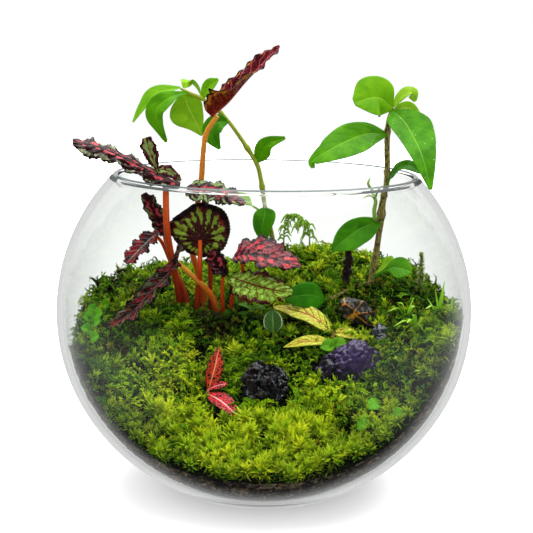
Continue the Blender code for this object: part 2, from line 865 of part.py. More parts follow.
def bed_depth(share):
    """Depth of the moss from its face to the soil, at that share of the way out to the glass."""
    return MOSS_EDGE + (MOSS_DEPTH - MOSS_EDGE) * smooth((1 - share) * 4.5)


def reaches_soil(name):
    """Whether a root goes down through the moss to the soil, or within a millimetre of it."""
    x, y, _, depth = ROOTS[name]
    reach = wall_meeting(math.atan2(x, -y), -MOSS_EDGE)
    return depth + 1 > bed_depth(math.hypot(x, y) / reach)


def bed_rings(shares, lower, relief):
    """Rings of points over the planting, lowered to the soil's face or lifted by the cushions."""
    rings = []
    for share in shares:
        ring = []
        for j in range(BED_SIDES):
            angle = 2 * math.pi * j / BED_SIDES
            drop = bed_depth(share) if lower else 0.0
            reach = wall_meeting(angle, -MOSS_EDGE) if lower else wall_meeting(angle, 0, LEFT_SHORE)
            x, y = reach * share * math.sin(angle), -reach * share * math.cos(angle)
            lift = cushions(x, y) * smooth((1 - share) * 8) if relief else 0.0
            ring.append(Vector((x, y, ground(x, y) - drop + lift)))
        rings.append(ring)
    return rings


def close_rings(low_centre, rings, high_centre, lean=1):
    """A closed shape from stacked rings, with a fan to a point at each end. The rings' faces are
    split along the diagonal that leans that way."""
    sides = len(rings[0])
    verts = [low_centre] + [p for ring in rings for p in ring] + [high_centre]
    faces = [(0, 1 + (j + 1) % sides, 1 + j) for j in range(sides)]
    for k in range(len(rings) - 1):
        for j in range(sides):
            a, b = 1 + k * sides + j, 1 + k * sides + (j + 1) % sides
            c, d = b + sides, a + sides
            faces += [(a, b, c), (a, c, d)] if lean > 0 else [(a, b, d), (b, c, d)]
    end, top = 1 + (len(rings) - 1) * sides, len(verts) - 1
    faces += [(end + j, end + (j + 1) % sides, top) for j in range(sides)]
    return verts, faces


SOIL_SHARES = [0.25, 0.5, 0.76, 0.88, 1.0]
MOSS_SHARES = [1.0, 0.95, 0.88, 0.8, 0.7, 0.6, 0.5, 0.4, 0.3, 0.2, 0.1]


def wall_rings(low_ring, high_ring, steps):
    """Rings up the glass between two rings that lie against it."""
    rings = []
    for k in range(1, steps):
        ring = []
        for a, b in zip(low_ring, high_ring):
            z = a.z + (b.z - a.z) * k / steps
            out = Vector((b.x, b.y)).normalized() * (wall_radius(z, WALL) - WALL_GAP)
            ring.append(Vector((out.x, out.y, z)))
        rings.append(ring)
    return rings


def build_soil():
    """The dark soil that fills the bowl's bottom, with a face that follows the moss."""
    floor = BASE_THICKNESS + SEAT_GAP
    reach = wall_radius(floor, WALL) - WALL_GAP
    around = [2 * math.pi * j / BED_SIDES for j in range(BED_SIDES)]
    base = [Vector((reach * math.sin(a), -reach * math.cos(a), floor)) for a in around]
    face = bed_rings(SOIL_SHARES[::-1], lower=True, relief=False)
    top = Vector((0, 0, ground(0, 0) - bed_depth(0)))
    rings = [base, *wall_rings(base, face[0], 6), *face]
    earth = make_material("dark_soil", (0.035, 0.024, 0.016), 0.95)
    soil = make_object("soil", *close_rings(Vector((0, 0, floor)), rings, top, lean=-1), earth)
    holes = [root_hole(name) for name in ROOTS if reaches_soil(name)]
    cut(soil, holes + [grown(STONES["amethyst"], SEAT_GAP)])
    return soil


def rhizome_trench():
    """A flat-floored trench with round ends along the begonia's creeping stem."""
    reach = RHIZOME_RADIUS + SEAT_GAP + 0.3
    floor = RHIZOME[0][2] - RHIZOME_RADIUS - SEAT_GAP
    path = smooth_path(RHIZOME, 7)
    left, right = [], []
    for k, p in enumerate(path):
        ahead = (path[min(k + 1, 6)] - path[max(k - 1, 0)]).normalized()
        side = Vector((-ahead.y, ahead.x, 0)) * reach
        left.append(p + side)
        right.append(p - side)
    ends = []
    for centre, ahead in ((path[-1], path[-1] - path[-2]), (path[0], path[0] - path[1])):
        heading = math.atan2(ahead.y, ahead.x)
        turns = [heading + math.radians(a) for a in (60, 20, -20, -60)]
        ends.append([centre + Vector((math.cos(a), math.sin(a), 0)) * reach for a in turns])
    outline = left + ends[0] + right[::-1] + ends[1]
    count = len(outline)
    verts = [Vector((p.x, p.y, z)) for z in (floor, floor + HOLE_RISE) for p in outline]
    faces = [(j, (j + 1) % count, count + (j + 1) % count, count + j) for j in range(count)]
    return verts, [*faces, tuple(range(count))[::-1], tuple(range(count, 2 * count))]


STONES = {
    "black_stone": stone((1, -41, 70), (15, 11, 15), 4, 30, (0, 8, 10)),
    "amethyst": stone((50, -28, 77), (23, 13, 14), 11, 40, (0, -32, 12)),
    "veined_rock": stone((59.5, 9, 103.6), (15, 8.5, 8.5), 7, 24, (0, 26, 5)),
    "small_stone": stone((70.7, -6, 93.4), (6, 5, 7), 5, 18),
}


def build_moss():
    """The moss carpet in rounded cushions, with plain holes for roots and pockets for stones."""
    under = bed_rings(SOIL_SHARES, lower=True, relief=False)
    under = [[p + Vector((0, 0, SEAT_GAP + 0.1)) for p in ring] for ring in under]
    face = bed_rings(MOSS_SHARES, lower=False, relief=True)
    bottom = Vector((0, 0, ground(0, 0) - bed_depth(0) + SEAT_GAP + 0.1))
    top = Vector((0, 0, ground(0, 0) + cushions(0, 0)))
    rings = [*under, *wall_rings(under[-1], face[0], 2), *face]
    green = make_material("moss", (0.2, 0.38, 0.03), 0.9)
    moss = make_object("moss_carpet", *close_rings(bottom, rings, top), green)
    pockets = [grown(shape, SEAT_GAP) for shape in STONES.values()]
    cut(moss, [root_hole(name) for name in ROOTS] + pockets + [rhizome_trench()])
    return moss


def build_stones():
    """The stones, each half sunk in its pocket."""
    finishes = {
        "black_stone": ((0.012, 0.012, 0.014), 0.25),
        "amethyst": ((0.12, 0.05, 0.26), 0.25),
        "veined_rock": ((0.09, 0.06, 0.04), 0.6),
        "small_stone": ((0.05, 0.05, 0.06), 0.45),
    }
    for name, shape in STONES.items():
        make_object(name, *shape, make_material(name, *finishes[name]), smooth_angle=0.2)


def build_begonia():
    """The petioles on their creeping stem, and the leaves held over their ends."""
    red = make_material("begonia_petiole", (0.5, 0.09, 0.02), 0.4)
    shapes = [tube(RHIZOME, (3.6, 4.4, 4.2, 3.4), sides=8, steps=9)]
    for number, route in PETIOLES.items():
        radii = PETIOLE_RADII.get(number, SLIM_PETIOLE)
        end = leaf_seat(BEGONIA[number], radii[-1], route[-1])
        shapes.append(tube([*route, end], radii, sides=5, steps=len(route) + 5))
    shapes += [tube(route, (1.5, 1.2, 0.7), sides=5, steps=4) for route in YOUNG_SHOOTS]
    unite("begonia_stems", shapes, red)
    for number, leaf in BEGONIA.items():
        name = f"begonia_leaf_{number}"
        leaf.stations = BEGONIA_STATIONS
        maroon = make_material(name, (0.16, 0.02, 0.03), 0.45)
        if number in LOBES:
            unite(name, [leaf_shape(leaf), *map(leaf_shape, LOBES[number])], maroon)
        else:
            make_object(name, *leaf_shape(leaf), maroon)


def build_vines():
    """Both vines: stems with their side shoots, and each leaf on its own."""
    stem = make_material("vine_stem", (0.22, 0.24, 0.05), 0.5)
    left = tube([*root_points("vine_left"), *VINE_LEFT], (1.7, 1.7, *VINE_LEFT_RADII), steps=30)
    twig = tube(PALE_TWIG, (0.8, 0.7, 0.6), steps=4)
    unite("vine_left_stem", [left, twig], stem)
    bark = make_material("vine_bark", (0.2, 0.19, 0.07), 0.6)
    right = tube([*root_points("vine_right"), *VINE_RIGHT], (2.1, 2.1, *VINE_RIGHT_RADII), steps=28)
    runner = tube(RUNNER, (1.3, 1.2, 1.1, 0.8), steps=8)
    shoot = tube(SIDE_SHOOT, (0.9, 0.9, 0.8, 0.6), steps=8)
    unite("vine_right_stem", [right, runner, shoot], bark)
    for name, leaf in VINE_LEAVES.items():
        green = make_material(name, (0.16, 0.42, 0.02), 0.35)
        make_object(name, *leaf_shape(leaf), green)


def small_blade(base, tip, width, face, stations=5, across=1, wave=0.0):
    """A small ovate leaf from its base to its tip."""
    base, tip = Vector(base), Vector(tip)
    middle = (base + tip) / 2 + Vector(face).normalized() * (tip - base).length * 0.08
    widths = (width * 0.25, width * 0.9, width, width * 0.7, LEAST_HALF_WIDTH)
    return leaf_shape(
        Leaf([base, middle, tip], face, widths, widths, stations=stations, across=across, wave=wave)
    )


def leaflet(base, tip, width, face):
    """A tiny pointed leaf, widest at two fifths of its length and thickest there."""
    base, tip = Vector(base), Vector(tip)
    ahead = (tip - base).normalized()
    up = Vector(face)
    up = (up - ahead * up.dot(ahead)).normalized()
    side = ahead.cross(up) * (width / 2)
    up *= LEAFLET_THICKNESS / 2
    middle = base.lerp(tip, 0.4)
    verts = [base, middle + side, middle + up, middle - side, middle - up, tip]
    fan = [(0, j, j % 4 + 1) for j in range(1, 5)]
    return verts, fan + [(5, b, a) for _, a, b in fan]


def bent_blade(start, tip, bow, radius):
    """A narrow blade of grass that leaves the tuft upwards and bends over to its tip."""
    start, tip = Vector(start), Vector(tip)
    top = start.lerp(tip, 0.4) + Vector((0, 0, bow))
    return tube([start, top, tip], (radius, radius * 1.15, radius, radius * 0.45), sides=3, steps=6)


def build_net_plants():
    """The yellow plant with red veins and the red plant with pale veins."""
    crown = (43, -5, 93.5)
    shapes = [tube([*root_points("yellow_net"), (42, -8, 89), crown], (1.0, 1.0, 0.9, 0.9), steps=8)]
    long_leaf = Leaf(
        [(43, -5, 93), (31, 2, 101), (19, 8, 104), (6, 13, 105)],
        face=(0.05, -0.5, 0.86),
        left=(1, 6, 7, 7, 4, 1),
        right=(1, 5, 7, 7, 4, 1),
        across=1,
        fold=(10, 5),
    )
    shapes.append(leaf_shape(long_leaf))
    shapes.append(small_blade(crown, (59, -7, 91), 4.5, (0.0, -0.6, 0.8)))
    shapes.append(small_blade((42, -8, 88.5), (12, -13, 86), 4.6, (0.0, -0.5, 0.85), stations=6))
    yellow = make_material("yellow_net_leaf", (0.62, 0.72, 0.04), 0.4)
    unite("net_plant_yellow", shapes, yellow)
    crown = (-31.5, -42, 68)
    shapes = [tube([*root_points("red_net"), crown], (1.0, 1.0, 0.9, 0.8), steps=5)]
    shapes.append(small_blade(crown, (-26, -33, 91), 5.0, (0.3, -0.9, 0.3), stations=6))
    shapes.append(small_blade((-32, -43, 65.5), (-14.6, -60, 55), 5.0, (0.3, -0.5, 0.8), stations=6))
    shapes.append(small_blade(crown, (-20.5, -41, 71), 2.8, (0.1, -0.7, 0.7)))
    red = make_material("red_net_leaf", (0.78, 0.07, 0.08), 0.4)
    unite("net_plant_red", shapes, red)


def build_small_plants():
    """Single leaves and small sprigs that stand in the moss."""
    fresh = make_material("small_leaf", (0.2, 0.5, 0.03), 0.4)
    pale = make_material("pale_edged_leaf", (0.25, 0.4, 0.15), 0.4)
    stalk = tube([*root_points("pale_edged"), above(6, -1, 3)], (0.9, 0.8, 0.7), steps=4)
    cup = small_blade(above(6, -1, 2), (5, 2, 106), 5.5, (0, -0.9, 0.35), stations=6)
    unite("pale_edged_leaf", [stalk, cup], pale)
    shapes = [tube([*root_points("leafy_shoot"), above(-8, 12, 8)], (1.0, 0.9, 0.7), steps=5)]
    for k, turn in enumerate((200, 250, 300, 345, 20, 160)):
        angle = math.radians(turn)
        low = Vector(above(-8, 12, 2 + k))
        tip = low + Vector((9 * math.cos(angle), 6 * math.sin(angle), 2.5))
        shapes.append(leaflet(low, tip, 5.0, (0, -0.3, 1)))
    unite("leafy_shoot", shapes, fresh)
    crown = (43, -14, 88.5)
    shapes = [tube([*root_points("round_leaf_sprig"), crown], (0.9, 0.8, 0.6), steps=6)]
    for tip in ((34, -15, 86.5), (41, -15, 92), (50, -16, 89)):
        shapes.append(small_blade(crown, tip, 3.0, (0, -0.8, 0.6)))
    unite("round_leaf_sprig", shapes, fresh)


def build_creeper():
    """The creeping sprig by the glass at the left, and the three lobed leaves at the right."""
    fresh = make_material("creeper_leaf", (0.2, 0.5, 0.03), 0.4)
    x, y, _, _ = ROOTS["creeper"]
    route = [above(x + 3, y + 16, 4), above(x, y + 8, 4), above(x, y, 3.5), above(x + 1, y - 13, 4)]
    root = [*root_points("creeper"), above(x, y, 4)]
    shapes = [tube(root, (1.0, 0.9), steps=4), tube(route, (0.7, 1.0, 0.7), steps=8)]
    path = smooth_path(route, 7)
    for k, base in enumerate(path):
        side = -1 if k % 2 else 1
        tip = base + Vector((side * 6.0, -3.5, 3.0))
        shapes.append(leaflet(base, tip, 6.0, (0.1 * side, -0.6, 0.8)))
    unite("creeper_sprig", shapes, fresh)
    reaches = {"lobed_1": (-7, -4), "lobed_2": (-7, -4), "lobed_3": (6, -3)}
    for number, (name, (dx, dy)) in enumerate(reaches.items(), 1):
        x, y, _, _ = ROOTS[name]
        stalk = tube([*root_points(name), above(x, y, 3.5)], (0.9, 0.8, 0.7), steps=4)
        tip = above(x + dx, y + dy, 4)
        blade = small_blade(above(x, y, 3), tip, 4.0, (0.0, -0.75, 0.65), wave=0.4)
        unite(f"lobed_leaf_{number}", [stalk, blade], fresh)


def build_fern(number, name, route):
    """A fern sprig: an arching stalk with pairs of leaflets."""
    points = [*root_points(name), *route]
    steps = 15
    shapes = [tube(points, (1.0, 0.9, 0.8, 0.6), sides=5, steps=steps)]
    path = smooth_path(points, steps)
    for k in range(7, steps - 1):
        ahead = (path[k + 1] - path[k - 1]).normalized()
        for side in (-1, 1):
            out = Vector((0, -0.35, 0)) + ahead * 0.5 + ahead.cross(Vector((0, -1, 0))) * side
            reach = 7.0 - abs(k - 10) * 0.6
            shapes.append(leaflet(path[k], path[k] + out * reach, 2.4, (0, -1, 0.2)))
    unite(f"fern_sprig_{number}", shapes, make_material(name, (0.2, 0.42, 0.05), 0.6))


def build_spike():
    """A spike of moss with short leaves all round it."""
    x, y, _, _ = ROOTS["spike"]
    route = [*root_points("spike"), above(x, y, 14), above(x, y, 28)]
    shapes = [tube(route, (1.3, 1.2, 1.5, 0.6), steps=8)]
    for k in range(6):
        for j in range(3):
            angle = 2.1 * j + 0.9 * k
            low = Vector(above(x, y, 4 + 4 * k))
            out = Vector((math.cos(angle), math.sin(angle), 0.9)) * (4.8 - 0.4 * k)
            shapes.append(leaflet(low, low + out, 1.8, (-out.x, -out.y, 4)))
    unite("spike_sprig", shapes, make_material("spike", (0.2, 0.35, 0.05), 0.6))


TUFTS = {
    "tuft_1": [(-3, -1, 17), (6, -3, 13), (9, -6, 4), (-9, -4, 8), (3, 2, 20)],
    "tuft_2": [(-12, -2, 8), (4, 1, 16), (9, 6, 9), (-6, 1, 13)],
    "tuft_3": [(-13, -3, 6), (-6, -7, 9), (-2, -3, 13), (4, -9, 4)],
}


def build_tufts():
    """Tufts of narrow blades of grass at the right."""
    grass = make_material("grass", (0.36, 0.6, 0.05), 0.45)
    for number, (name, ends) in enumerate(TUFTS.items(), 1):
        x, y, _, _ = ROOTS[name]
        shapes = [tube([*root_points(name), above(x, y, 3)], (1.6, 1.4, 1.2), steps=4)]
        for dx, dy, dz in ends:
            start = Vector(above(x, y, 1.5))
            tip = Vector((x + dx, y + dy, max(ground(x, y) + dz, above(x + dx, y + dy, 3)[2])))
            shapes.append(bent_blade(start, tip, 6 if dz < 15 else 1, 0.8))
        unite(f"grass_tuft_{number}", shapes, grass)


def build_sprigs():
    """Fern sprigs at the back, a spike of moss and tufts of grass at the right."""
    build_fern(1, "fern_1", [(13, 86, 140), (17, 85, 152), (24, 84, 151)])
    build_fern(2, "fern_2", [(30, 76, 142), (27, 75, 150), (21, 75, 145)])
    build_spike()
    build_tufts()


def build_twig():
    """The dark knobbly stub of a twig."""
    wood = make_material("twig_bark", (0.035, 0.014, 0.012), 0.7)
    route = [*root_points("twig"), (53, 37.5, 124), (54, 36.5, 138)]
    knobbly = (2.6, 2.6, 3.0, 2.4, 3.0, 2.3, 2.7, 2.0)
    make_object("twig_stub", *tube(route, knobbly, sides=8, steps=14), wood)


def main():
    """Clears the scene and builds every piece."""
    for obj in list(bpy.data.objects):
        bpy.data.objects.remove(obj)
    build_bowl()
    build_soil()
    build_moss()
    build_stones()
    build_begonia()
    build_vines()
    build_net_plants()
    build_small_plants()
    build_creeper()
    build_sprigs()
    build_twig()


main()
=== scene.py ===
"""Dresses a planted glass bowl: its glass, soil, moss, stones and every plant in their real finish, with
some light and shade painted into the colours of the moss, stones, begonia leaves and glass lip.

Sizes and places are millimetres. The meshes are made in metres, in the frame of the CAD model:
+Z up, the origin under the middle of the bowl's foot, -Y towards the low front of the planting.
"""

import logging
import math
from collections.abc import Sequence
from dataclasses import dataclass, field, replace
from enum import Enum
from itertools import product

import bmesh
import bpy
import numpy as np
from mathutils import Matrix, Vector
from mathutils.bvhtree import BVHTree


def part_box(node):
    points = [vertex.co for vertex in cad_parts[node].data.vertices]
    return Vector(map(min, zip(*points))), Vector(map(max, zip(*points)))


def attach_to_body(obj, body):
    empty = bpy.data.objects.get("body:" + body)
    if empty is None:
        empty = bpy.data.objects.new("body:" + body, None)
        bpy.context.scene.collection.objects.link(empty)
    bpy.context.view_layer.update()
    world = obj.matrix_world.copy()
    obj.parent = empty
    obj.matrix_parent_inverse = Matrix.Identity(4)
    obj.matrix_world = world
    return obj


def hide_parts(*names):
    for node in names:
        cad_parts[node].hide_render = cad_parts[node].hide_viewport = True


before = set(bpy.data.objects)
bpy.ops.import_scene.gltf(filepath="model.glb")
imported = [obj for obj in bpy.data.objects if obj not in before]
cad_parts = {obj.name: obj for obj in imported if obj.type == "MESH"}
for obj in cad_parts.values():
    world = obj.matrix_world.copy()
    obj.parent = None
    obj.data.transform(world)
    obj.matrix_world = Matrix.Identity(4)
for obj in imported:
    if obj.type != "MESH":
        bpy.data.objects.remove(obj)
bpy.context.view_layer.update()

MM = 0.001
LOG = logging.getLogger("terrarium")
Points = np.ndarray
Place = Sequence[float]
Stops = Sequence[tuple[float, str | float]]
Socket = bpy.types.NodeSocket
Material = bpy.types.Material
Draw = np.random.Generator


# Colour and node helpers


def linear(colour: str) -> tuple[float, float, float, float]:
    """Turns an sRGB hex colour into linear red, green, blue and alpha."""
    shares = [int(colour[i : i + 2], 16) / 255 for i in (1, 3, 5)]
    return (*[s / 12.92 if s < 0.04045 else ((s + 0.055) / 1.055) ** 2.4 for s in shares], 1.0)


def pattern(size: float) -> float:
    """The scale of a texture whose features are that many millimetres apart."""
    return 1 / (size * MM)


class Nodes:
    """A node tree that is being filled."""

    def __init__(self, tree: bpy.types.NodeTree) -> None:
        """Takes the tree."""
        self.tree = tree

    def add(
        self, kind: str, settings: dict | None = None, links: dict | None = None, out: int | str = 0
    ) -> Socket:
        """Adds a shader node with its settings and links.

        Args:
            kind: the node's type, without the words ShaderNode.
            settings: properties and plain input values by name or place. A ramp's stops go by "ramp".
            links: the output sockets that feed its inputs, by name or place.
            out: the output that is wanted, by name or place.

        Returns:
            That output.
        """
        node = self.tree.nodes.new("ShaderNode" + kind)
        for name, value in (settings or {}).items():
            if name == "ramp":
                elements = node.color_ramp.elements
                while len(elements) < len(value):
                    elements.new(0.5)
                for element, (place, colour) in zip(elements, value):
                    element.position = place
                    element.color = linear(colour) if isinstance(colour, str) else (colour,) * 3 + (1,)
            elif isinstance(name, str) and hasattr(node, name):
                setattr(node, name, value)
            else:
                node.inputs[name].default_value = value
        for name, socket in (links or {}).items():
            self.tree.links.new(socket, node.inputs[name])
        return node.outputs[out]


class Recipe(Nodes):
    """A material being put together: one Principled surface and the nodes that feed it."""

    def __init__(self, name: str, **surface: float | tuple) -> None:
        """Starts a material.

        Args:
            name: the material's name.
            surface: plain values of the Principled shader's inputs, with _ for a space.
        """
        self.material = bpy.data.materials.new(name)
        self.material.use_nodes = True
        super().__init__(self.material.node_tree)
        self.shader = self.tree.nodes["Principled BSDF"]
        self.output = self.tree.nodes["Material Output"]
        for key, value in surface.items():
            self.shader.inputs[key.replace("_", " ")].default_value = value
        self.place = {"Vector": self.add("TexCoord", out="Object")}

    def feed(self, **sockets: Socket) -> None:
        """Links sockets to the Principled shader's inputs, with _ for a space."""
        for name, socket in sockets.items():
            self.tree.links.new(socket, self.shader.inputs[name.replace("_", " ")])

    def end(self, **sockets: Socket) -> None:
        """Links sockets to the material's output."""
        for name, socket in sockets.items():
            self.tree.links.new(socket, self.output.inputs[name])

    def lay(self, under: Socket, colour: str, mask: Socket, stops: Stops) -> Socket:
        """Lays a colour over the one under it, as thickly as the stops make of the mask."""
        share = self.add("ValToRGB", {"ramp": stops}, {0: mask})
        return self.add("Mix", {**COLOURS, 7: linear(colour)}, {0: share, 6: under}, 2)

    def emboss(self, height: Socket, depth: float, strength: float = 1.0) -> None:
        """Gives the surface relief of that many millimetres."""
        settings = {"Distance": depth * MM, "Strength": strength}
        self.feed(Normal=self.add("Bump", settings, {"Height": height}))

    def glow_through(self, share: float, colour: Socket) -> None:
        """Lets light from behind show through a thin blade."""
        back = self.add("BsdfTranslucent", {}, {"Color": colour})
        self.end(Surface=self.add("MixShader", {0: share}, {1: self.shader.outputs[0], 2: back}))

    def vein_nearness(self, wander: float = 0.0) -> Socket:
        """A value of 1 on each side vein of a blade and 0 half way between two.

        Args:
            wander: how far the veins stray from their even run, as a share of their spacing.

        Returns:
            The socket that holds the value.
        """
        drift = self.add("TexNoise", {"Scale": pattern(6), "Detail": 2.0}, self.place)
        phase = self.add("Attribute", {"attribute_name": "phase"}, out="Fac")
        phase = self.add("Math", {"operation": "MULTIPLY_ADD", 1: 2 * wander}, {0: drift, 2: phase})
        away = self.add("Math", {"operation": "PINGPONG", 1: 0.5}, {0: phase})
        return self.add("Math", {"operation": "MULTIPLY_ADD", 1: -2.0, 2: 1.0}, {0: away})

    def reach(self) -> Socket:
        """How far across a blade each point lies, from 0 on the midrib to 1 on the margin."""
        across = self.add("Attribute", {"attribute_name": "across"}, out="Fac")
        return self.add("Math", {"operation": "ABSOLUTE"}, {0: across})


COLOURS = {"data_type": "RGBA"}


# Finishes


@dataclass(frozen=True)
class Finish:
    """What a surface is made of. Each kind of finish makes its own material."""

    name: str

    def material(self) -> Material:
        """The finish as a new material."""
        raise NotImplementedError


@dataclass(frozen=True)
class BlownGlass(Finish):
    """Soda-lime glass, mouth blown: clear and flame polished, green only where it is thick."""

    name: str = "soda_lime_glass"
    index: float = 1.5
    tint: str = "#fdfefd"
    depth_tint: str = "#9fd8b8"
    density: float = 5.0

    def material(self) -> Material:
        """Glass that lets the lamps' light through to the planting.

        Returns:
            The material.
        """
        surface = {"Base_Color": linear(self.tint), "IOR": self.index, "Transmission_Weight": 1.0}
        mix = Recipe(self.name, Roughness=0.0, **surface)
        rays = mix.add("LightPath", out="Is Shadow Ray")
        clear = mix.add("BsdfTransparent", {"Color": linear(self.tint)})
        both = mix.add("MixShader", {}, {0: rays, 1: mix.shader.outputs[0], 2: clear})
        depth = mix.add("VolumeAbsorption", {"Color": linear(self.depth_tint), "Density": self.density})
        mix.end(Surface=both, Volume=depth)
        return mix.material


@dataclass(frozen=True)
class LipPaintedLightShade(Finish):
    """The fire-polished top of the glass wall: end-on it shows as a thin grey line over a clear band. Both
    are painted: the line as painted shade and the band as a faint pale skin, in place of the light that the
    glass bends and mirrors.
    """

    colour: str
    bright: str
    cover: float

    def material(self) -> Material:
        """A grey skin, part clear, that paints the lip's light and shade, with the greens of thick glass
        drifting along it.

        Returns:
            The material.
        """
        mix = Recipe(self.name, Roughness=0.08, IOR=1.5, Alpha=self.cover)
        drift = mix.add("TexNoise", {"Scale": pattern(30)}, mix.place)
        stops = [(0.35, self.colour), (0.65, self.bright)]
        mix.feed(Base_Color=mix.add("ValToRGB", {"ramp": stops}, {0: drift}))
        return mix.material


@dataclass(frozen=True)
class PottingSoil(Finish):
    """Peat and bark potting soil, damp: near black crumbs with a few pale grains and rusty bits."""

    name: str = "peat_soil"
    crumb: float = 2.0
    grain: float = 3.0

    def material(self) -> Material:
        """Crumbs, each with its own shade, rusty stretches and pale grains.

        Returns:
            The material.
        """
        mix = Recipe(self.name, Roughness=0.8, Specular_IOR_Level=0.3)
        crumbs = mix.add("TexVoronoi", {"Scale": pattern(self.crumb)}, mix.place).node.outputs
        damp = mix.add("TexNoise", {"Scale": pattern(9), "Detail": 3.0}, mix.place)
        shade = mix.add("Math", {"operation": "MULTIPLY"}, {0: crumbs["Color"], 1: damp})
        stops = [(0.0, "#020201"), (0.12, "#0e0b07"), (0.26, "#2c2418"), (0.38, "#6c5c48")]
        stops.append((0.55, "#9a8c70"))
        colour = mix.add("ValToRGB", {"ramp": stops}, {0: shade})
        rust = mix.add("TexNoise", {"Scale": pattern(4), "Detail": 3.0}, mix.place)
        colour = mix.lay(colour, "#8a4c18", rust, [(0.6, 0.0), (0.72, 0.5)])
        grains = mix.add("TexVoronoi", {"Scale": pattern(self.grain)}, mix.place)
        colour = mix.lay(colour, "#a09478", grains, [(0.12, 0.8), (0.18, 0.0)])
        mix.feed(Base_Color=colour)
        mix.emboss(crumbs["Distance"], 0.9)
        return mix.material


@dataclass(frozen=True)
class MossFeltPaintedShade(Finish):
    """Old moss under the living shoots: near black felt that shows only in the gaps, partly its own dark
    colour and partly painted shade.
    """

    name: str = "moss_felt_painted_shade"

    def material(self) -> Material:
        """Dark felt with short fibres, painted near black for the shade in the gaps.

        Returns:
            The material.
        """
        mix = Recipe(self.name, Roughness=1.0, Specular_IOR_Level=0.0)
        # The fibres are too fine to show, so they are drawn in tufts 1.2 mm apart
        fibre = mix.add("TexNoise", {"Scale": pattern(1.2), "Detail": 5.0}, mix.place)
        # The near-black stops are painted shade: the gaps between the shoots are dark from shade, not from
        # the felt's colour
        stops = [(0.3, "#040502"), (0.5, "#0e1405"), (0.62, "#1c2808"), (0.75, "#2c360c")]
        mix.feed(Base_Color=mix.add("ValToRGB", {"ramp": stops}, {0: fibre}))
        mix.emboss(fibre, 1.2)
        return mix.material


@dataclass(frozen=True)
class MossLeaf(Finish):
    """Living moss leaflets: one cell thick, so they glow yellow-green at their lit tips."""

    name: str = "moss_leaflet"
    glow: float = 0.4
    young: str = "#f0f048"

    def material(self) -> Material:
        """Colour by each shoot's own tone, dark at its foot as painted shade and bright at the tips.

        Returns:
            The material.
        """
        mix = Recipe(self.name, Roughness=0.5, Specular_IOR_Level=0.06)
        tones = [(0.0, "#241a08"), (0.18, "#4c4008"), (0.35, "#346c04"), (0.55, "#649c02")]
        tones += [(0.78, "#9cc404"), (1.0, "#d4e020")]
        tone = mix.add("Attribute", {"attribute_name": "tone"}, out="Fac")
        own = mix.add("ValToRGB", {"ramp": tones}, {0: tone})
        tip = mix.add("Attribute", {"attribute_name": "tip"}, out="Fac")
        # Painted shade: each shoot darkens towards its foot, where the shoots around it shut out the light
        stops = [(0.0, "#060c02"), (0.35, "#304020"), (0.75, "#ffffff")]
        dark = mix.add("ValToRGB", {"ramp": stops}, {0: tip})
        colour = mix.add("Mix", {**COLOURS, "blend_type": "MULTIPLY", 0: 1.0}, {6: own, 7: dark}, 2)
        colour = mix.lay(colour, self.young, tip, [(0.75, 0.0), (1.0, 0.35)])
        mix.feed(Base_Color=colour)
        mix.glow_through(self.glow, colour)
        return mix.material


@dataclass(frozen=True)
class Blotch:
    """Patches of one colour on a begonia leaf, kept between its veins and in a band across it."""

    colour: str
    edge: float = 0.5
    size: float = 5.0
    middle: float = 0.45
    hold: float = 0.35
    shun: float = 0.16


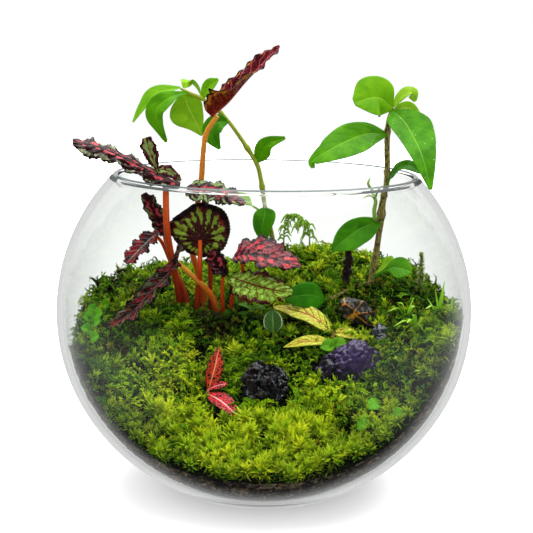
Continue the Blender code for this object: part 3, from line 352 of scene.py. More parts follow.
@dataclass(frozen=True)
class BegoniaBlade(Finish):
    """Rex begonia leaf: quilted between its veins, hairy and half glossy, with broken bands of colour."""

    ground: str = "#2a0a0e"
    blotches: tuple[Blotch, ...] = ()
    vein: str = "#7a2028"
    vein_width: float = 0.14
    vein_strength: float = 0.7
    rim: str = "#1c0608"
    glow: float = 0.15
    gloss: float = 0.32

    def material(self) -> Material:
        """Mottled ground, patches between the veins, the veins, a ragged dark rim and pale hairs with
        painted glints.

        Returns:
            The material.
        """
        mix = Recipe(self.name, Roughness=self.gloss, Specular_IOR_Level=0.25)
        near = mix.vein_nearness(0.5)
        across = mix.reach()
        fine = mix.add("TexNoise", {"Scale": pattern(1.8), "Detail": 4.0}, mix.place)
        shade = mix.add("ValToRGB", {"ramp": [(0.35, "#505050"), (0.65, "#ffffff")]}, {0: fine})
        settings = {**COLOURS, "blend_type": "MULTIPLY", 0: 0.8, 6: linear(self.ground)}
        colour = mix.add("Mix", settings, {7: shade}, 2)
        for number, blotch in enumerate(self.blotches):
            shift = mix.add("Mapping", {"Location": (0.05 * number, 0.02, 0)}, mix.place)
            field = mix.add("TexNoise", {"Scale": pattern(blotch.size), "Detail": 3.0}, {"Vector": shift})
            field = mix.add("Math", {"operation": "MULTIPLY_ADD", 1: -blotch.shun}, {0: near, 2: field})
            away = mix.add("Math", {"operation": "SUBTRACT", 1: blotch.middle}, {0: across})
            away = mix.add("Math", {"operation": "ABSOLUTE"}, {0: away})
            field = mix.add("Math", {"operation": "MULTIPLY_ADD", 1: -blotch.hold}, {0: away, 2: field})
            stops = [(blotch.edge - 0.14, 0.0), (blotch.edge - 0.1, 0.95)]
            colour = mix.lay(colour, blotch.colour, field, stops)
        stops = [(1 - self.vein_width, 0.0), (1 - 0.4 * self.vein_width, self.vein_strength)]
        line = mix.add("ValToRGB", {"ramp": stops}, {0: near})
        middle = mix.add("ValToRGB", {"ramp": [(0.03, 1.0), (0.08, 0.0)]}, {0: across})
        line = mix.add("Math", {"operation": "MAXIMUM"}, {0: line, 1: middle})
        colour = mix.add("Mix", {**COLOURS, 7: linear(self.vein)}, {0: line, 6: colour}, 2)
        edge = mix.add("Math", {"operation": "MULTIPLY_ADD", 1: 0.35}, {0: fine, 2: across})
        rim = mix.add("MapRange", {1: 1.02, 2: 1.1}, {0: edge})
        colour = mix.add("Mix", {**COLOURS, 7: linear(self.rim)}, {0: rim, 6: colour}, 2)
        # The hairs are too fine to show, so each is drawn as a speck about 0.4 mm wide, whose paleness also
        # paints glints of light on the leaf
        hairs_and_glints = mix.add("TexVoronoi", {"Scale": pattern(1.6)}, mix.place)
        colour = mix.lay(colour, "#d8c8c4", hairs_and_glints, [(0.08, 0.5), (0.13, 0.0)])
        mix.feed(Base_Color=colour)
        quilt = mix.add("TexNoise", {"Scale": pattern(2.4), "Detail": 2.0}, mix.place)
        quilt = mix.add("Math", {"operation": "MULTIPLY_ADD", 1: -0.35}, {0: near, 2: quilt})
        mix.emboss(quilt, 1.2, 0.9)
        mix.glow_through(self.glow, colour)
        return mix.material


@dataclass(frozen=True)
class VineBlade(Finish):
    """Waxy vine leaf: a smooth cuticle with a pale midrib and faint side veins."""

    face: str = "#4f9a18"
    shade: str = "#35750f"
    vein: str = "#8cc04a"
    vein_strength: float = 0.35
    fleck: str = ""
    glow: float = 0.4
    gloss: float = 0.4

    def material(self) -> Material:
        """Two greens that drift across the blade, the veins, and flecks where it has them.

        Returns:
            The material.
        """
        mix = Recipe(self.name, Roughness=self.gloss, Specular_IOR_Level=0.07)
        near = mix.vein_nearness(0.08)
        drift = mix.add("TexNoise", {"Scale": pattern(9), "Detail": 3.0}, mix.place)
        drift = mix.add("ValToRGB", {"ramp": [(0.35, 0.0), (0.65, 1.0)]}, {0: drift})
        settings = {**COLOURS, 6: linear(self.face), 7: linear(self.shade)}
        colour = mix.add("Mix", settings, {0: drift}, 2)
        side = mix.add("ValToRGB", {"ramp": [(0.86, 0.0), (0.98, self.vein_strength)]}, {0: near})
        middle = mix.add("ValToRGB", {"ramp": [(0.02, 0.7), (0.05, 0.0)]}, {0: mix.reach()})
        line = mix.add("Math", {"operation": "MAXIMUM"}, {0: side, 1: middle})
        colour = mix.add("Mix", {**COLOURS, 7: linear(self.vein)}, {0: line, 6: colour}, 2)
        if self.fleck:
            spots = mix.add("TexVoronoi", {"Scale": pattern(3.2)}, mix.place)
            spots = mix.add("ValToRGB", {"ramp": [(0.09, 0.9), (0.15, 0.0)]}, {0: spots})
            patch = mix.add("TexNoise", {"Scale": pattern(7)}, mix.place)
            patch = mix.add("ValToRGB", {"ramp": [(0.42, 0.0), (0.58, 1.0)]}, {0: patch})
            spots = mix.add("Math", {"operation": "MULTIPLY"}, {0: spots, 1: patch})
            colour = mix.add("Mix", {**COLOURS, 7: linear(self.fleck)}, {0: spots, 6: colour}, 2)
        mix.feed(Base_Color=colour)
        mix.emboss(near, 0.18, 0.5)
        mix.glow_through(self.glow, colour)
        return mix.material


@dataclass(frozen=True)
class NetBlade(Finish):
    """Nerve plant leaf: a bright mesh of veins over its skin, dense at the midrib, open at the rim."""

    net: str = "#e8303c"
    skin: str = "#28301c"
    midrib: str = "#ffd8c8"
    mesh: float = 1.5
    body: float = 0.2
    web: float = 0.14
    strength: float = 1.0
    rim: str = "#28301c"
    glow: float = 0.2

    def material(self) -> Material:
        """Cells in the leaf's own plane, whose walls thin out towards the rim, and side veins.

        Returns:
            The material.
        """
        mix = Recipe(self.name, Roughness=0.4, Specular_IOR_Level=0.35)
        across = mix.reach()
        plane = mix.add("Attribute", {"attribute_name": "plane"}, out="Vector")
        settings = {"feature": "DISTANCE_TO_EDGE", "Scale": 1 / self.mesh, "Randomness": 0.8}
        walls = mix.add("TexVoronoi", settings, {"Vector": plane})
        thin = mix.add("Math", {"operation": "MULTIPLY_ADD", 1: self.web}, {0: across, 2: walls})
        stops = [(self.body - 0.02, self.strength), (self.body + 0.02, 0.0)]
        skin = mix.add("ValToRGB", {"ramp": stops}, {0: thin})
        side = mix.add("ValToRGB", {"ramp": [(0.8, 0.0), (0.9, 1.0)]}, {0: mix.vein_nearness(0.1)})
        line = mix.add("Math", {"operation": "MAXIMUM"}, {0: skin, 1: side})
        settings = {**COLOURS, 6: linear(self.skin), 7: linear(self.net)}
        colour = mix.add("Mix", settings, {0: line}, 2)
        colour = mix.lay(colour, self.rim, across, [(0.9, 0.0), (0.96, 1.0)])
        colour = mix.lay(colour, self.midrib, across, [(0.05, 1.0), (0.11, 0.0)])
        mix.feed(Base_Color=colour)
        mix.emboss(line, 0.2, 0.5)
        mix.glow_through(self.glow, colour)
        return mix.material


@dataclass(frozen=True)
class Stalk(Finish):
    """Living stalk: a smooth juicy skin that changes colour from its foot to its top."""

    foot: str
    middle: str
    top: str
    fleck: str = "#5a1408"
    flecks: float = 0.25
    gloss: float = 0.35
    glow: float = 0.1

    def material(self) -> Material:
        """Three colours along the stalk and short flecks.

        Returns:
            The material.
        """
        mix = Recipe(self.name, Roughness=self.gloss, Specular_IOR_Level=0.4)
        along = mix.add("Attribute", {"attribute_name": "along"}, out="Fac")
        stops = [(0.0, self.foot), (0.35, self.middle), (1.0, self.top)]
        colour = mix.add("ValToRGB", {"ramp": stops}, {0: along})
        spots = mix.add("TexNoise", {"Scale": pattern(1.3), "Detail": 2.0}, mix.place)
        colour = mix.lay(colour, self.fleck, spots, [(0.55, 0.0), (0.66, self.flecks)])
        mix.feed(Base_Color=colour)
        mix.emboss(spots, 0.2, 0.5)
        mix.glow_through(self.glow, colour)
        return mix.material


@dataclass(frozen=True)
class Bark(Finish):
    """Thin bark on young wood: fine cracks along it and a dull surface."""

    pale: str
    dark: str
    crack: float = 1.2
    gloss: float = 0.65

    def material(self) -> Material:
        """Two browns broken up by cracks that are longer than they are wide.

        Returns:
            The material.
        """
        mix = Recipe(self.name, Roughness=self.gloss, Specular_IOR_Level=0.3)
        stretch = mix.add("Mapping", {"Scale": (1, 1, 0.4)}, mix.place)
        settings = {"Scale": pattern(self.crack), "Detail": 4.0, "Roughness": 0.65}
        cracks = mix.add("TexNoise", settings, {"Vector": stretch})
        stops = [(0.38, self.dark), (0.58, self.pale)]
        mix.feed(Base_Color=mix.add("ValToRGB", {"ramp": stops}, {0: cracks}))
        mix.emboss(cracks, 0.5)
        return mix.material


@dataclass(frozen=True)
class Mineral(Finish):
    """Broken mineral: glossy faces, pale chips whose paleness is painted highlight, and stains in the
    hollows.
    """

    body: str
    chip: str
    stain: str
    chip_edge: float = 0.56
    chip_size: float = 3.0
    gloss: float = 0.18
    rough: float = 0.5
    crown: str = ""
    fibre: str = ""
    relief: float = 0.5

    def material(self) -> Material:
        """Body colour, crinkled chips painted pale as highlights, stains and fibres, with a gloss that
        changes from place to place.

        Returns:
            The material.
        """
        mix = Recipe(self.name, Specular_IOR_Level=0.6)
        crinkle = mix.add("TexNoise", {"Scale": pattern(self.chip_size / 3), "Detail": 5.0}, mix.place)
        field = mix.add("TexNoise", {"Scale": pattern(self.chip_size), "Detail": 2.0}, mix.place)
        field = mix.add("Math", {"operation": "MULTIPLY_ADD", 1: 0.4}, {0: crinkle, 2: field})
        # Painted highlights: the chips are laid on in a paler colour, where the broken faces catch the
        # light
        stops = [(0.2 + self.chip_edge, 0.0), (0.26 + self.chip_edge, 1.0)]
        chips_and_highlights = mix.add("ValToRGB", {"ramp": stops}, {0: field})
        settings = {**COLOURS, 6: linear(self.body), 7: linear(self.chip)}
        colour = mix.add("Mix", settings, {0: chips_and_highlights}, 2)
        stains = mix.add("TexNoise", {"Scale": pattern(self.chip_size * 2.3), "Detail": 3.0}, mix.place)
        colour = mix.lay(colour, self.stain, stains, [(0.52, 0.0), (0.66, 0.7)])
        # Painted light: the crown colour is laid on the side that faces the lit way, broken up by the
        # stains
        if self.crown:
            top = mix.add("Attribute", {"attribute_name": "crown"}, out="Fac")
            top = mix.add("Math", {"operation": "MULTIPLY_ADD", 1: 0.8}, {0: stains, 2: top})
            colour = mix.lay(colour, self.crown, top, [(0.55, 0.0), (0.98, 1.0)])
        if self.fibre:
            seam = mix.add("Attribute", {"attribute_name": "seam"}, out="Fac")
            strands = mix.add("Mapping", {"Scale": (1, 1, 0.25)}, mix.place)
            strands = mix.add("TexNoise", {"Scale": pattern(1.0), "Detail": 3.0}, {"Vector": strands})
            seam = mix.add("Math", {"operation": "MULTIPLY_ADD", 1: 2.2}, {0: strands, 2: seam})
            seam = mix.add("MapRange", {1: 1.55, 2: 1.35}, {0: seam})
            colour = mix.add("Mix", {**COLOURS, 7: linear(self.fibre)}, {0: seam, 6: colour}, 2)
        gloss = mix.add("MapRange", {1: 0.35, 2: 0.65, 3: self.gloss, 4: self.rough}, {0: stains})
        mix.feed(Base_Color=colour, Roughness=gloss)
        mix.emboss(field, self.relief)
        return mix.material


@dataclass(frozen=True)
class StudioFloor(Finish):
    """Matt white sheet under the bowl."""

    name: str = "white_sheet"
    colour: str = "#d4d4d4"

    def material(self) -> Material:
        """Matt white, overexposed as in a catalogue picture, so that only a faint shadow is left."""
        settings = {"Emission_Color": (1, 1, 1, 1), "Emission_Strength": 0.45, "Roughness": 0.9}
        return Recipe(self.name, Base_Color=linear(self.colour), **settings).material


# Meshes


@dataclass
class Shape:
    """Triangles in millimetres, with values at their points and a finish number for each."""

    points: Points
    faces: Points
    marks: dict[str, Points] = field(default_factory=dict)
    finish: Points | None = None

    @staticmethod
    def join(shapes: Sequence["Shape"]) -> "Shape":
        """One shape from several that hold the same marks.

        Args:
            shapes: the shapes.

        Returns:
            Their points, faces, marks and finishes in one.
        """
        counts = np.cumsum([0] + [len(s.points) for s in shapes])
        faces = np.concatenate([s.faces + start for s, start in zip(shapes, counts)])
        marks = {key: np.concatenate([s.marks[key] for s in shapes]) for key in shapes[0].marks}
        finish = [np.zeros(len(s.faces), int) if s.finish is None else s.finish for s in shapes]
        return Shape(np.concatenate([s.points for s in shapes]), faces, marks, np.concatenate(finish))

    def mesh(self, name: str, smooth: bool) -> bpy.types.Mesh:
        """Writes the shape into a mesh in metres.

        Args:
            name: the mesh's name.
            smooth: whether its faces are shaded as one smooth surface.

        Returns:
            The mesh.
        """
        mesh = bpy.data.meshes.new(name)
        mesh.vertices.add(len(self.points))
        mesh.vertices.foreach_set("co", (self.points * MM).astype(np.float32).ravel())
        mesh.loops.add(self.faces.size)
        mesh.loops.foreach_set("vertex_index", self.faces.astype(np.int32).ravel())
        mesh.polygons.add(len(self.faces))
        mesh.polygons.foreach_set("loop_start", np.arange(0, self.faces.size, 3, dtype=np.int32))
        if self.finish is not None:
            mesh.polygons.foreach_set("material_index", self.finish.astype(np.int32))
        mesh.update(calc_edges=True)
        for key, values in self.marks.items():
            wide = values.ndim == 2
            layer = mesh.attributes.new(key, "FLOAT_VECTOR" if wide else "FLOAT", "POINT")
            layer.data.foreach_set("vector" if wide else "value", values.astype(np.float32).ravel())
        (mesh.shade_smooth if smooth else mesh.shade_flat)()
        return mesh


def placed(name: str, data: bpy.types.ID) -> bpy.types.Object:
    """Puts something into the scene.

    Args:
        name: its name.
        data: the mesh, lamp or camera that it is.

    Returns:
        The new object.
    """
    obj = bpy.data.objects.new(name, data)
    bpy.context.scene.collection.objects.link(obj)
    return obj


def piece(
    name: str,
    shape: Shape,
    finishes: Sequence[Finish],
    slot: str,
    nodes: Sequence[str] = (),
    smooth: bool = True,
) -> bpy.types.Object:
    """Makes a visible piece of the object.

    Args:
        name: the piece's name.
        shape: its mesh.
        finishes: its finishes, in the order of its faces' numbers.
        slot: the material slot that it belongs to; not used.
        nodes: the CAD nodes that it stands for.
        smooth: whether its faces are shaded as one smooth surface.

    Returns:
        The new object.
    """
    obj = placed(name, shape.mesh(name, smooth))
    for finish in finishes:
        obj.data.materials.append(bpy.data.materials.get(finish.name) or finish.material())
    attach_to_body(obj, "root")
    if nodes:
        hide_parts(*nodes)
    LOG.info("%s: %d triangles", name, len(shape.faces))
    return obj


class Field:
    """A smooth random field over space, the same each run."""

    def __init__(self, seed: int, cells: int = 24) -> None:
        """Draws the field's values on a grid that repeats."""
        self.cells = cells
        self.values = np.random.default_rng(seed).uniform(-1, 1, (cells,) * 3)

    def at(self, points: Points, size: float) -> Points:
        """The field at the points, with features of that many millimetres.

        Args:
            points: where it is read.
            size: the size of its features, in millimetres.

        Returns:
            A value from -1 to 1 for each point.
        """
        place = points / size
        low = np.floor(place).astype(int)
        share = place - low
        share = share * share * (3 - 2 * share)
        total = np.zeros(len(points))
        for corner in product((0, 1), repeat=3):
            weight = np.prod(np.where(corner, share, 1 - share), axis=1)
            i, j, k = ((low + corner) % self.cells).T
            total += weight * self.values[i, j, k]
        return total

    def over(self, at: Points, size: float) -> Points:
        """The field at places on the ground, which have no height."""
        return self.at(np.column_stack([at, np.zeros(len(at))]), size)

    def rough(self, points: Points, size: float, octaves: int = 3) -> Points:
        """Several sizes of the field added up."""
        return sum(self.at(points + 7.3 * k, size / 2**k) / 2**k for k in range(octaves))


def ease(t: Points | float) -> Points | float:
    """Eases from 0 to 1 as t goes from 0 to 1."""
    t = np.clip(t, 0.0, 1.0)
    return t * t * (3 - 2 * t)


def unit(vectors: Points) -> Points:
    """Vectors of length 1."""
    return vectors / np.maximum(np.linalg.norm(vectors, axis=-1, keepdims=True), 1e-9)


def curve(points: Sequence[Place], count: int) -> Points:
    """Points spaced along a smooth curve through the given ones.

    Args:
        points: the places that it passes.
        count: how many points it gets.

    Returns:
        Its points in order.
    """
    p = np.array(points, float)
    p = np.vstack([2 * p[0] - p[1], p, 2 * p[-1] - p[-2]])
    spans = len(p) - 3
    place = np.linspace(0, spans, count)
    i = np.minimum(place.astype(int), spans - 1)
    t = (place - i)[:, None]
    bend = p[i] * (-t + 2 * t**2 - t**3) + p[i + 1] * (2 - 5 * t**2 + 3 * t**3)
    bend += p[i + 2] * (t + 4 * t**2 - 3 * t**3) + p[i + 3] * (t**3 - t**2)
    return bend / 2


def spread(values: Sequence[float], t: Points) -> Points:
    """Values at even steps along a length, joined by a smooth curve and read at shares of it.

    Args:
        values: the values.
        t: shares of the length, from 0 to 1.

    Returns:
        The value at each share.
    """
    known = np.asarray(values, float)
    tangent = np.gradient(known)
    place = t * (len(known) - 1)
    k = np.clip(place.astype(int), 0, len(known) - 2)
    u = place - k
    near = (1 + 2 * u) * (1 - u) ** 2 * known[k] + u * (1 - u) ** 2 * tangent[k]
    return near + u**2 * (3 - 2 * u) * known[k + 1] - u**2 * (1 - u) * tangent[k + 1]


def grid_faces(rows: int, columns: int, around: bool = False) -> Points:
    """Triangles over a grid of points, joined round at its sides if it is a tube.

    Args:
        rows: how many rows.
        columns: points in a row.
        around: whether a row's ends meet.

    Returns:
        Three point numbers for each triangle.
    """
    k, j = np.meshgrid(np.arange(rows - 1), np.arange(columns if around else columns - 1), indexing="ij")
    a, b = (k * columns + j).ravel(), (k * columns + (j + 1) % columns).ravel()
    return np.concatenate([np.stack([a, b, b + columns], 1), np.stack([a, b + columns, a + columns], 1)])


def fan(first: int, columns: int, centre: int, outward: bool) -> Points:
    """Triangles from a ring of points to a centre.

    Args:
        first: the ring's first point.
        columns: points in the ring.
        centre: the centre point.
        outward: whether the ring starts its shape, and doesn't end it.

    Returns:
        Three point numbers for each triangle.
    """
    a = first + np.arange(columns)
    b = first + (np.arange(columns) + 1) % columns
    middle = np.full(columns, centre)
    return np.stack([b, a, middle] if outward else [a, b, middle], 1)


def stack(rings: Sequence[Points], first: Place, last: Place) -> Shape:
    """A closed shape from rings of points, with a centre point at each end.

    Args:
        rings: the rings, in order.
        first: the centre before them.
        last: the centre after them.

    Returns:
        The shape, without marks.
    """
    sides = len(rings[0])
    points = np.concatenate([*rings, [first], [last]])
    count = sides * len(rings)
    faces = [grid_faces(len(rings), sides, around=True), fan(0, sides, count, outward=True)]
    faces.append(fan(count - sides, sides, count + 1, outward=False))
    return Shape(points, np.concatenate(faces))


def revolve(profile: Points, sides: int) -> Shape:
    """A closed turned shape from a section that starts and ends on the axis.

    Args:
        profile: radius and height of its points.
        sides: points round the shape.

    Returns:
        The shape.
    """
    turns = 2 * np.pi * np.arange(sides) / sides
    round_it = np.stack([np.cos(turns), np.sin(turns)], 1)
    rings = [np.column_stack([r * round_it, np.full(sides, z)]) for r, z in profile[1:-1]]
    return stack(rings, (0, 0, profile[0][1]), (0, 0, profile[-1][1]))


def tube(
    points: Sequence[Place],
    radii: Sequence[float],
    sides: int = 12,
    steps: int = 40,
    swell: Sequence[Sequence[float]] = (),
) -> Shape:
    """A round stem.

    Args:
        points: places along its middle.
        radii: its radius, evenly spaced along it.
        sides: points round it.
        steps: rings along it.
        swell: nodes on it, each as its place along the stem, its extra radius and its half length.

    Returns:
        The closed stem, with its share of the way along as a mark.
    """
    path = curve(points, steps)
    t = np.linspace(0, 1, steps)
    radius = spread(radii, t)
    for place, extra, half in swell:
        radius = radius + extra * np.exp(-(((t - place) / half) ** 2))
    ahead = unit(np.gradient(path, axis=0))
    side = np.array(Vector(ahead[0]).orthogonal().normalized())
    turns = 2 * np.pi * np.arange(sides) / sides
    rings = []
    for centre, along, r in zip(path, ahead, radius):
        side = unit(side - along * side.dot(along))
        other = np.cross(along, side)
        rings.append(centre + r * (np.outer(np.cos(turns), side) + np.outer(np.sin(turns), other)))
    stem = stack(rings, path[0], path[-1])
    stem.marks["along"] = np.concatenate([np.repeat(t, sides), [0.0, 1.0]])
    return stem


# Leaves


class Veining(Enum):
    """How a leaf's side veins run."""

    FEATHER = "feather"
    FAN = "fan"
    PARALLEL = "parallel"


@dataclass
class Blade:
    """A leaf along a spine, as in the CAD model, with the fine form that its kind has.

    The face is the way that its upper side looks. Left and right are half widths from base to tip, and
    right is given only where the sides differ. Fold is how far its halves lift at the base and at the
    tip, and turn twists it along its spine, both in degrees. The other sizes are in millimetres.
    """

    spine: Sequence[Place]
    face: Place
    left: Sequence[float]
    right: Sequence[float] = ()
    fold: Sequence[float] = (15, 15)
    turn: float = 0.0
    wave: float = 0.0
    waves: float = 4.0
    teeth: float = 0.0
    droop: float = 0.0
    attach: float = 0.1
    rows: int = 57
    cells: int = 12
    veining: Veining = Veining.FEATHER
    veins: float = 8.0
    slant: float = 1.6
    pucker: float = 0.0
    saw: float = 0.0
    frill: float = 0.0
    thickness: float = 0.45
    tooth: float = 0.09
    least_width: float = 0.25

    def __post_init__(self) -> None:
        """A leaf whose sides are alike gives its half widths once."""
        self.right = self.right or self.left

    def path(self) -> Points:
        """The spine's stations."""
        return curve(self.spine, self.rows)

    def seat(self, radius: float) -> Points:
        """Where a stem of that radius ends under the blade.

        Args:
            radius: the stem's radius at its end.

        Returns:
            The end of the stem's middle.
        """
        path = self.path()
        k = round(self.attach * (self.rows - 1))
        ahead = unit(path[k + 1] - path[k - 1])
        normal = np.array(self.face, float)
        normal = unit(normal - ahead * ahead.dot(normal))
        turn = Matrix.Rotation(math.radians(self.turn * self.attach), 3, Vector(ahead))
        return path[k] - np.array(turn @ Vector(normal)) * (0.8 * radius + self.thickness / 2)

    def sheet(self) -> tuple[Points, Points, Points, Points]:
        """The middle surface.

        Returns:
            Its points as rows and columns, and at each the shares along and across and the vein value.
        """
        path = self.path()
        t = np.linspace(0, 1, self.rows)
        ahead = unit(np.gradient(path, axis=0))
        normal = np.array(self.face, float)
        normal = unit(normal - ahead * (ahead @ normal)[:, None])
        for k in range(self.rows):
            turn = Matrix.Rotation(math.radians(self.turn * t[k]), 3, Vector(ahead[k]))
            normal[k] = turn @ Vector(normal[k])
        cross = np.cross(ahead, normal)
        fold = np.radians(self.fold[0] + (self.fold[1] - self.fold[0]) * t)[:, None, None]
        s = np.linspace(-1, 1, 2 * self.cells + 1)
        side = np.where(s > 0, 1.0, -1.0)
        reach = np.abs(s)
        out = side[None, :, None] * cross[:, None] * np.cos(fold) + normal[:, None] * np.sin(fold)
        up = normal[:, None] * np.cos(fold) - side[None, :, None] * cross[:, None] * np.sin(fold)
        width = np.where(s[None] > 0, spread(self.right, t)[:, None], spread(self.left, t)[:, None])
        width = np.maximum(width, self.least_width)
        phase = 2 * np.pi * t[:, None]
        if self.teeth:
            width = width * (1 + self.tooth * reach * np.sin(self.teeth * phase + side))
        if self.saw:
            scallop = 1 - np.abs(np.sin(np.pi * self.saw * t[:, None] + 0.4 * side))
            width = width * (1 - reach**3 * scallop / self.saw)
        ripple = self.wave * reach**2 * np.sin(self.waves * phase + 2 * side)
        ripple += 0.35 * self.wave * reach**3 * np.sin(2.7 * self.waves * phase + 5 * side)
        ripple += self.frill * reach**4 * np.sin(5.3 * self.waves * phase + 2.4 * side + np.sin(3 * phase))
        ripple = ripple * ease(width / 4) * ease((1 - t[:, None]) * 8)
        ripple -= self.droop * reach**2 * width
        veins = self.vein_phase(t, s, width)
        near = np.abs(veins % 1.0 - 0.5) * 2
        ripple += self.pucker * ease(1 - near) * ease(reach * 3) * ease((1 - reach) * 3) * ease(width / 4)
        sheet = path[:, None] + out * (width * reach)[..., None] + up * ripple[..., None]
        return sheet, t[:, None] + 0 * s[None], s[None] + 0 * t[:, None], veins

    def vein_phase(self, t: Points, s: Points, width: Points) -> Points:
        """A value over the blade that passes a whole number on every side vein.

        Args:
            t: shares along the blade.
            s: shares across it.
            width: its half widths.

        Returns:
            The value at each row and column.
        """
        if self.veining is Veining.PARALLEL:
            return 0.5 + self.veins * np.abs(s)[None] ** 0.8 * np.ones_like(t)[:, None]
        if self.veining is Veining.FEATHER:
            return self.veins * t[:, None] ** 0.9 - self.slant * np.abs(s)[None]
        length = np.linalg.norm(np.diff(self.path(), axis=0), axis=1).sum()
        along = (t[:, None] - self.attach) * length
        return self.veins * np.arctan2(np.abs(s)[None] * width, along) / np.pi

    def shape(self) -> Shape:
        """The closed blade, with its upper side in the first finish and its underside in the next.

        Returns:
            The blade with its marks and finish numbers.
        """
        sheet, t, s, veins = self.sheet()
        rows, columns = t.shape
        normals = unit(np.cross(np.gradient(sheet, axis=1), np.gradient(sheet, axis=0)))
        half = self.thickness / 2 * (1 - 0.6 * np.abs(s) ** 4)[..., None]
        top, under = (sheet + normals * half).reshape(-1, 3), (sheet - normals * half).reshape(-1, 3)
        count = rows * columns
        face = grid_faces(rows, columns)
        number = np.arange(count).reshape(rows, columns)
        edge = np.concatenate([number[0], number[1:, -1], number[-1, -2::-1], number[-2:0:-1, 0]])
        ahead = np.roll(edge, -1)
        rim = [np.stack([edge, count + ahead, ahead], 1), np.stack([edge, count + edge, count + ahead], 1)]
        length = np.linalg.norm(np.diff(self.path(), axis=0), axis=1).sum()
        width = np.where(s > 0, spread(self.right, t), spread(self.left, t))
        plane = np.stack([t * length, s * width, 0 * t], -1).reshape(-1, 3)
        if self.veining is Veining.FAN:
            end = np.where(t > self.attach, (t - self.attach) / (1 - self.attach), 1 - t / self.attach)
            s = np.minimum(1.0, np.hypot(s, end))
        marks = {"along": t.ravel(), "across": s.ravel(), "phase": veins.ravel(), "plane": plane}
        marks = {key: np.concatenate([value, value]) for key, value in marks.items()}
        faces = np.concatenate([face, face[:, ::-1] + count, *rim])
        finish = np.zeros(len(faces), int)
        finish[len(face) : 2 * len(face)] = 1
        return Shape(np.concatenate([top, under]), faces, marks, finish)


def small_blade(base: Place, tip: Place, width: float, face: Place, **more: object) -> Blade:
    """A small ovate leaf from its base to its tip, as the CAD model places it.

    Args:
        base: where it starts.
        tip: where it ends.
        width: its greatest half width.
        face: the way that its upper side looks.
        more: other sizes of the blade.

    Returns:
        The blade.
    """
    low, high = np.array(base, float), np.array(tip, float)
    middle = (low + high) / 2 + unit(np.array(face, float)) * np.linalg.norm(high - low) * 0.08
    widths = (width * 0.25, width * 0.9, width, width * 0.7, 0.3)
    settings = {"rows": 25, "cells": 6, "veins": 6.0, **more}
    return Blade([low, middle, high], face, widths, **settings)


def leaflets(
    base: Points, tip: Points, width: Points, face: Points, lift: float = 0.3
) -> tuple[Points, Points]:
    """Many tiny pointed leaves at once.

    Args:
        base: where each starts.
        tip: where each ends.
        width: how wide each is.
        face: the way that each one's upper side looks.
        lift: how far its sides are raised, as a share of its width.

    Returns:
        Four points of each leaf as one array, and its four triangles.
    """
    ahead = unit(tip - base)
    up = unit(face - ahead * (face * ahead).sum(-1, keepdims=True))
    side = np.cross(ahead, up) * width[..., None] / 2
    middle = base * 0.58 + tip * 0.42 + up * width[..., None] * lift
    points = np.stack([base, middle + side, middle - side, tip], axis=-2).reshape(-1, 3)
    corner = np.array([[0, 1, 2], [3, 2, 1], [0, 3, 1], [0, 2, 3]])
    start = 4 * np.arange(len(points) // 4)[:, None, None]
    return points, (start + corner).reshape(-1, 3)


# Bowl and ground


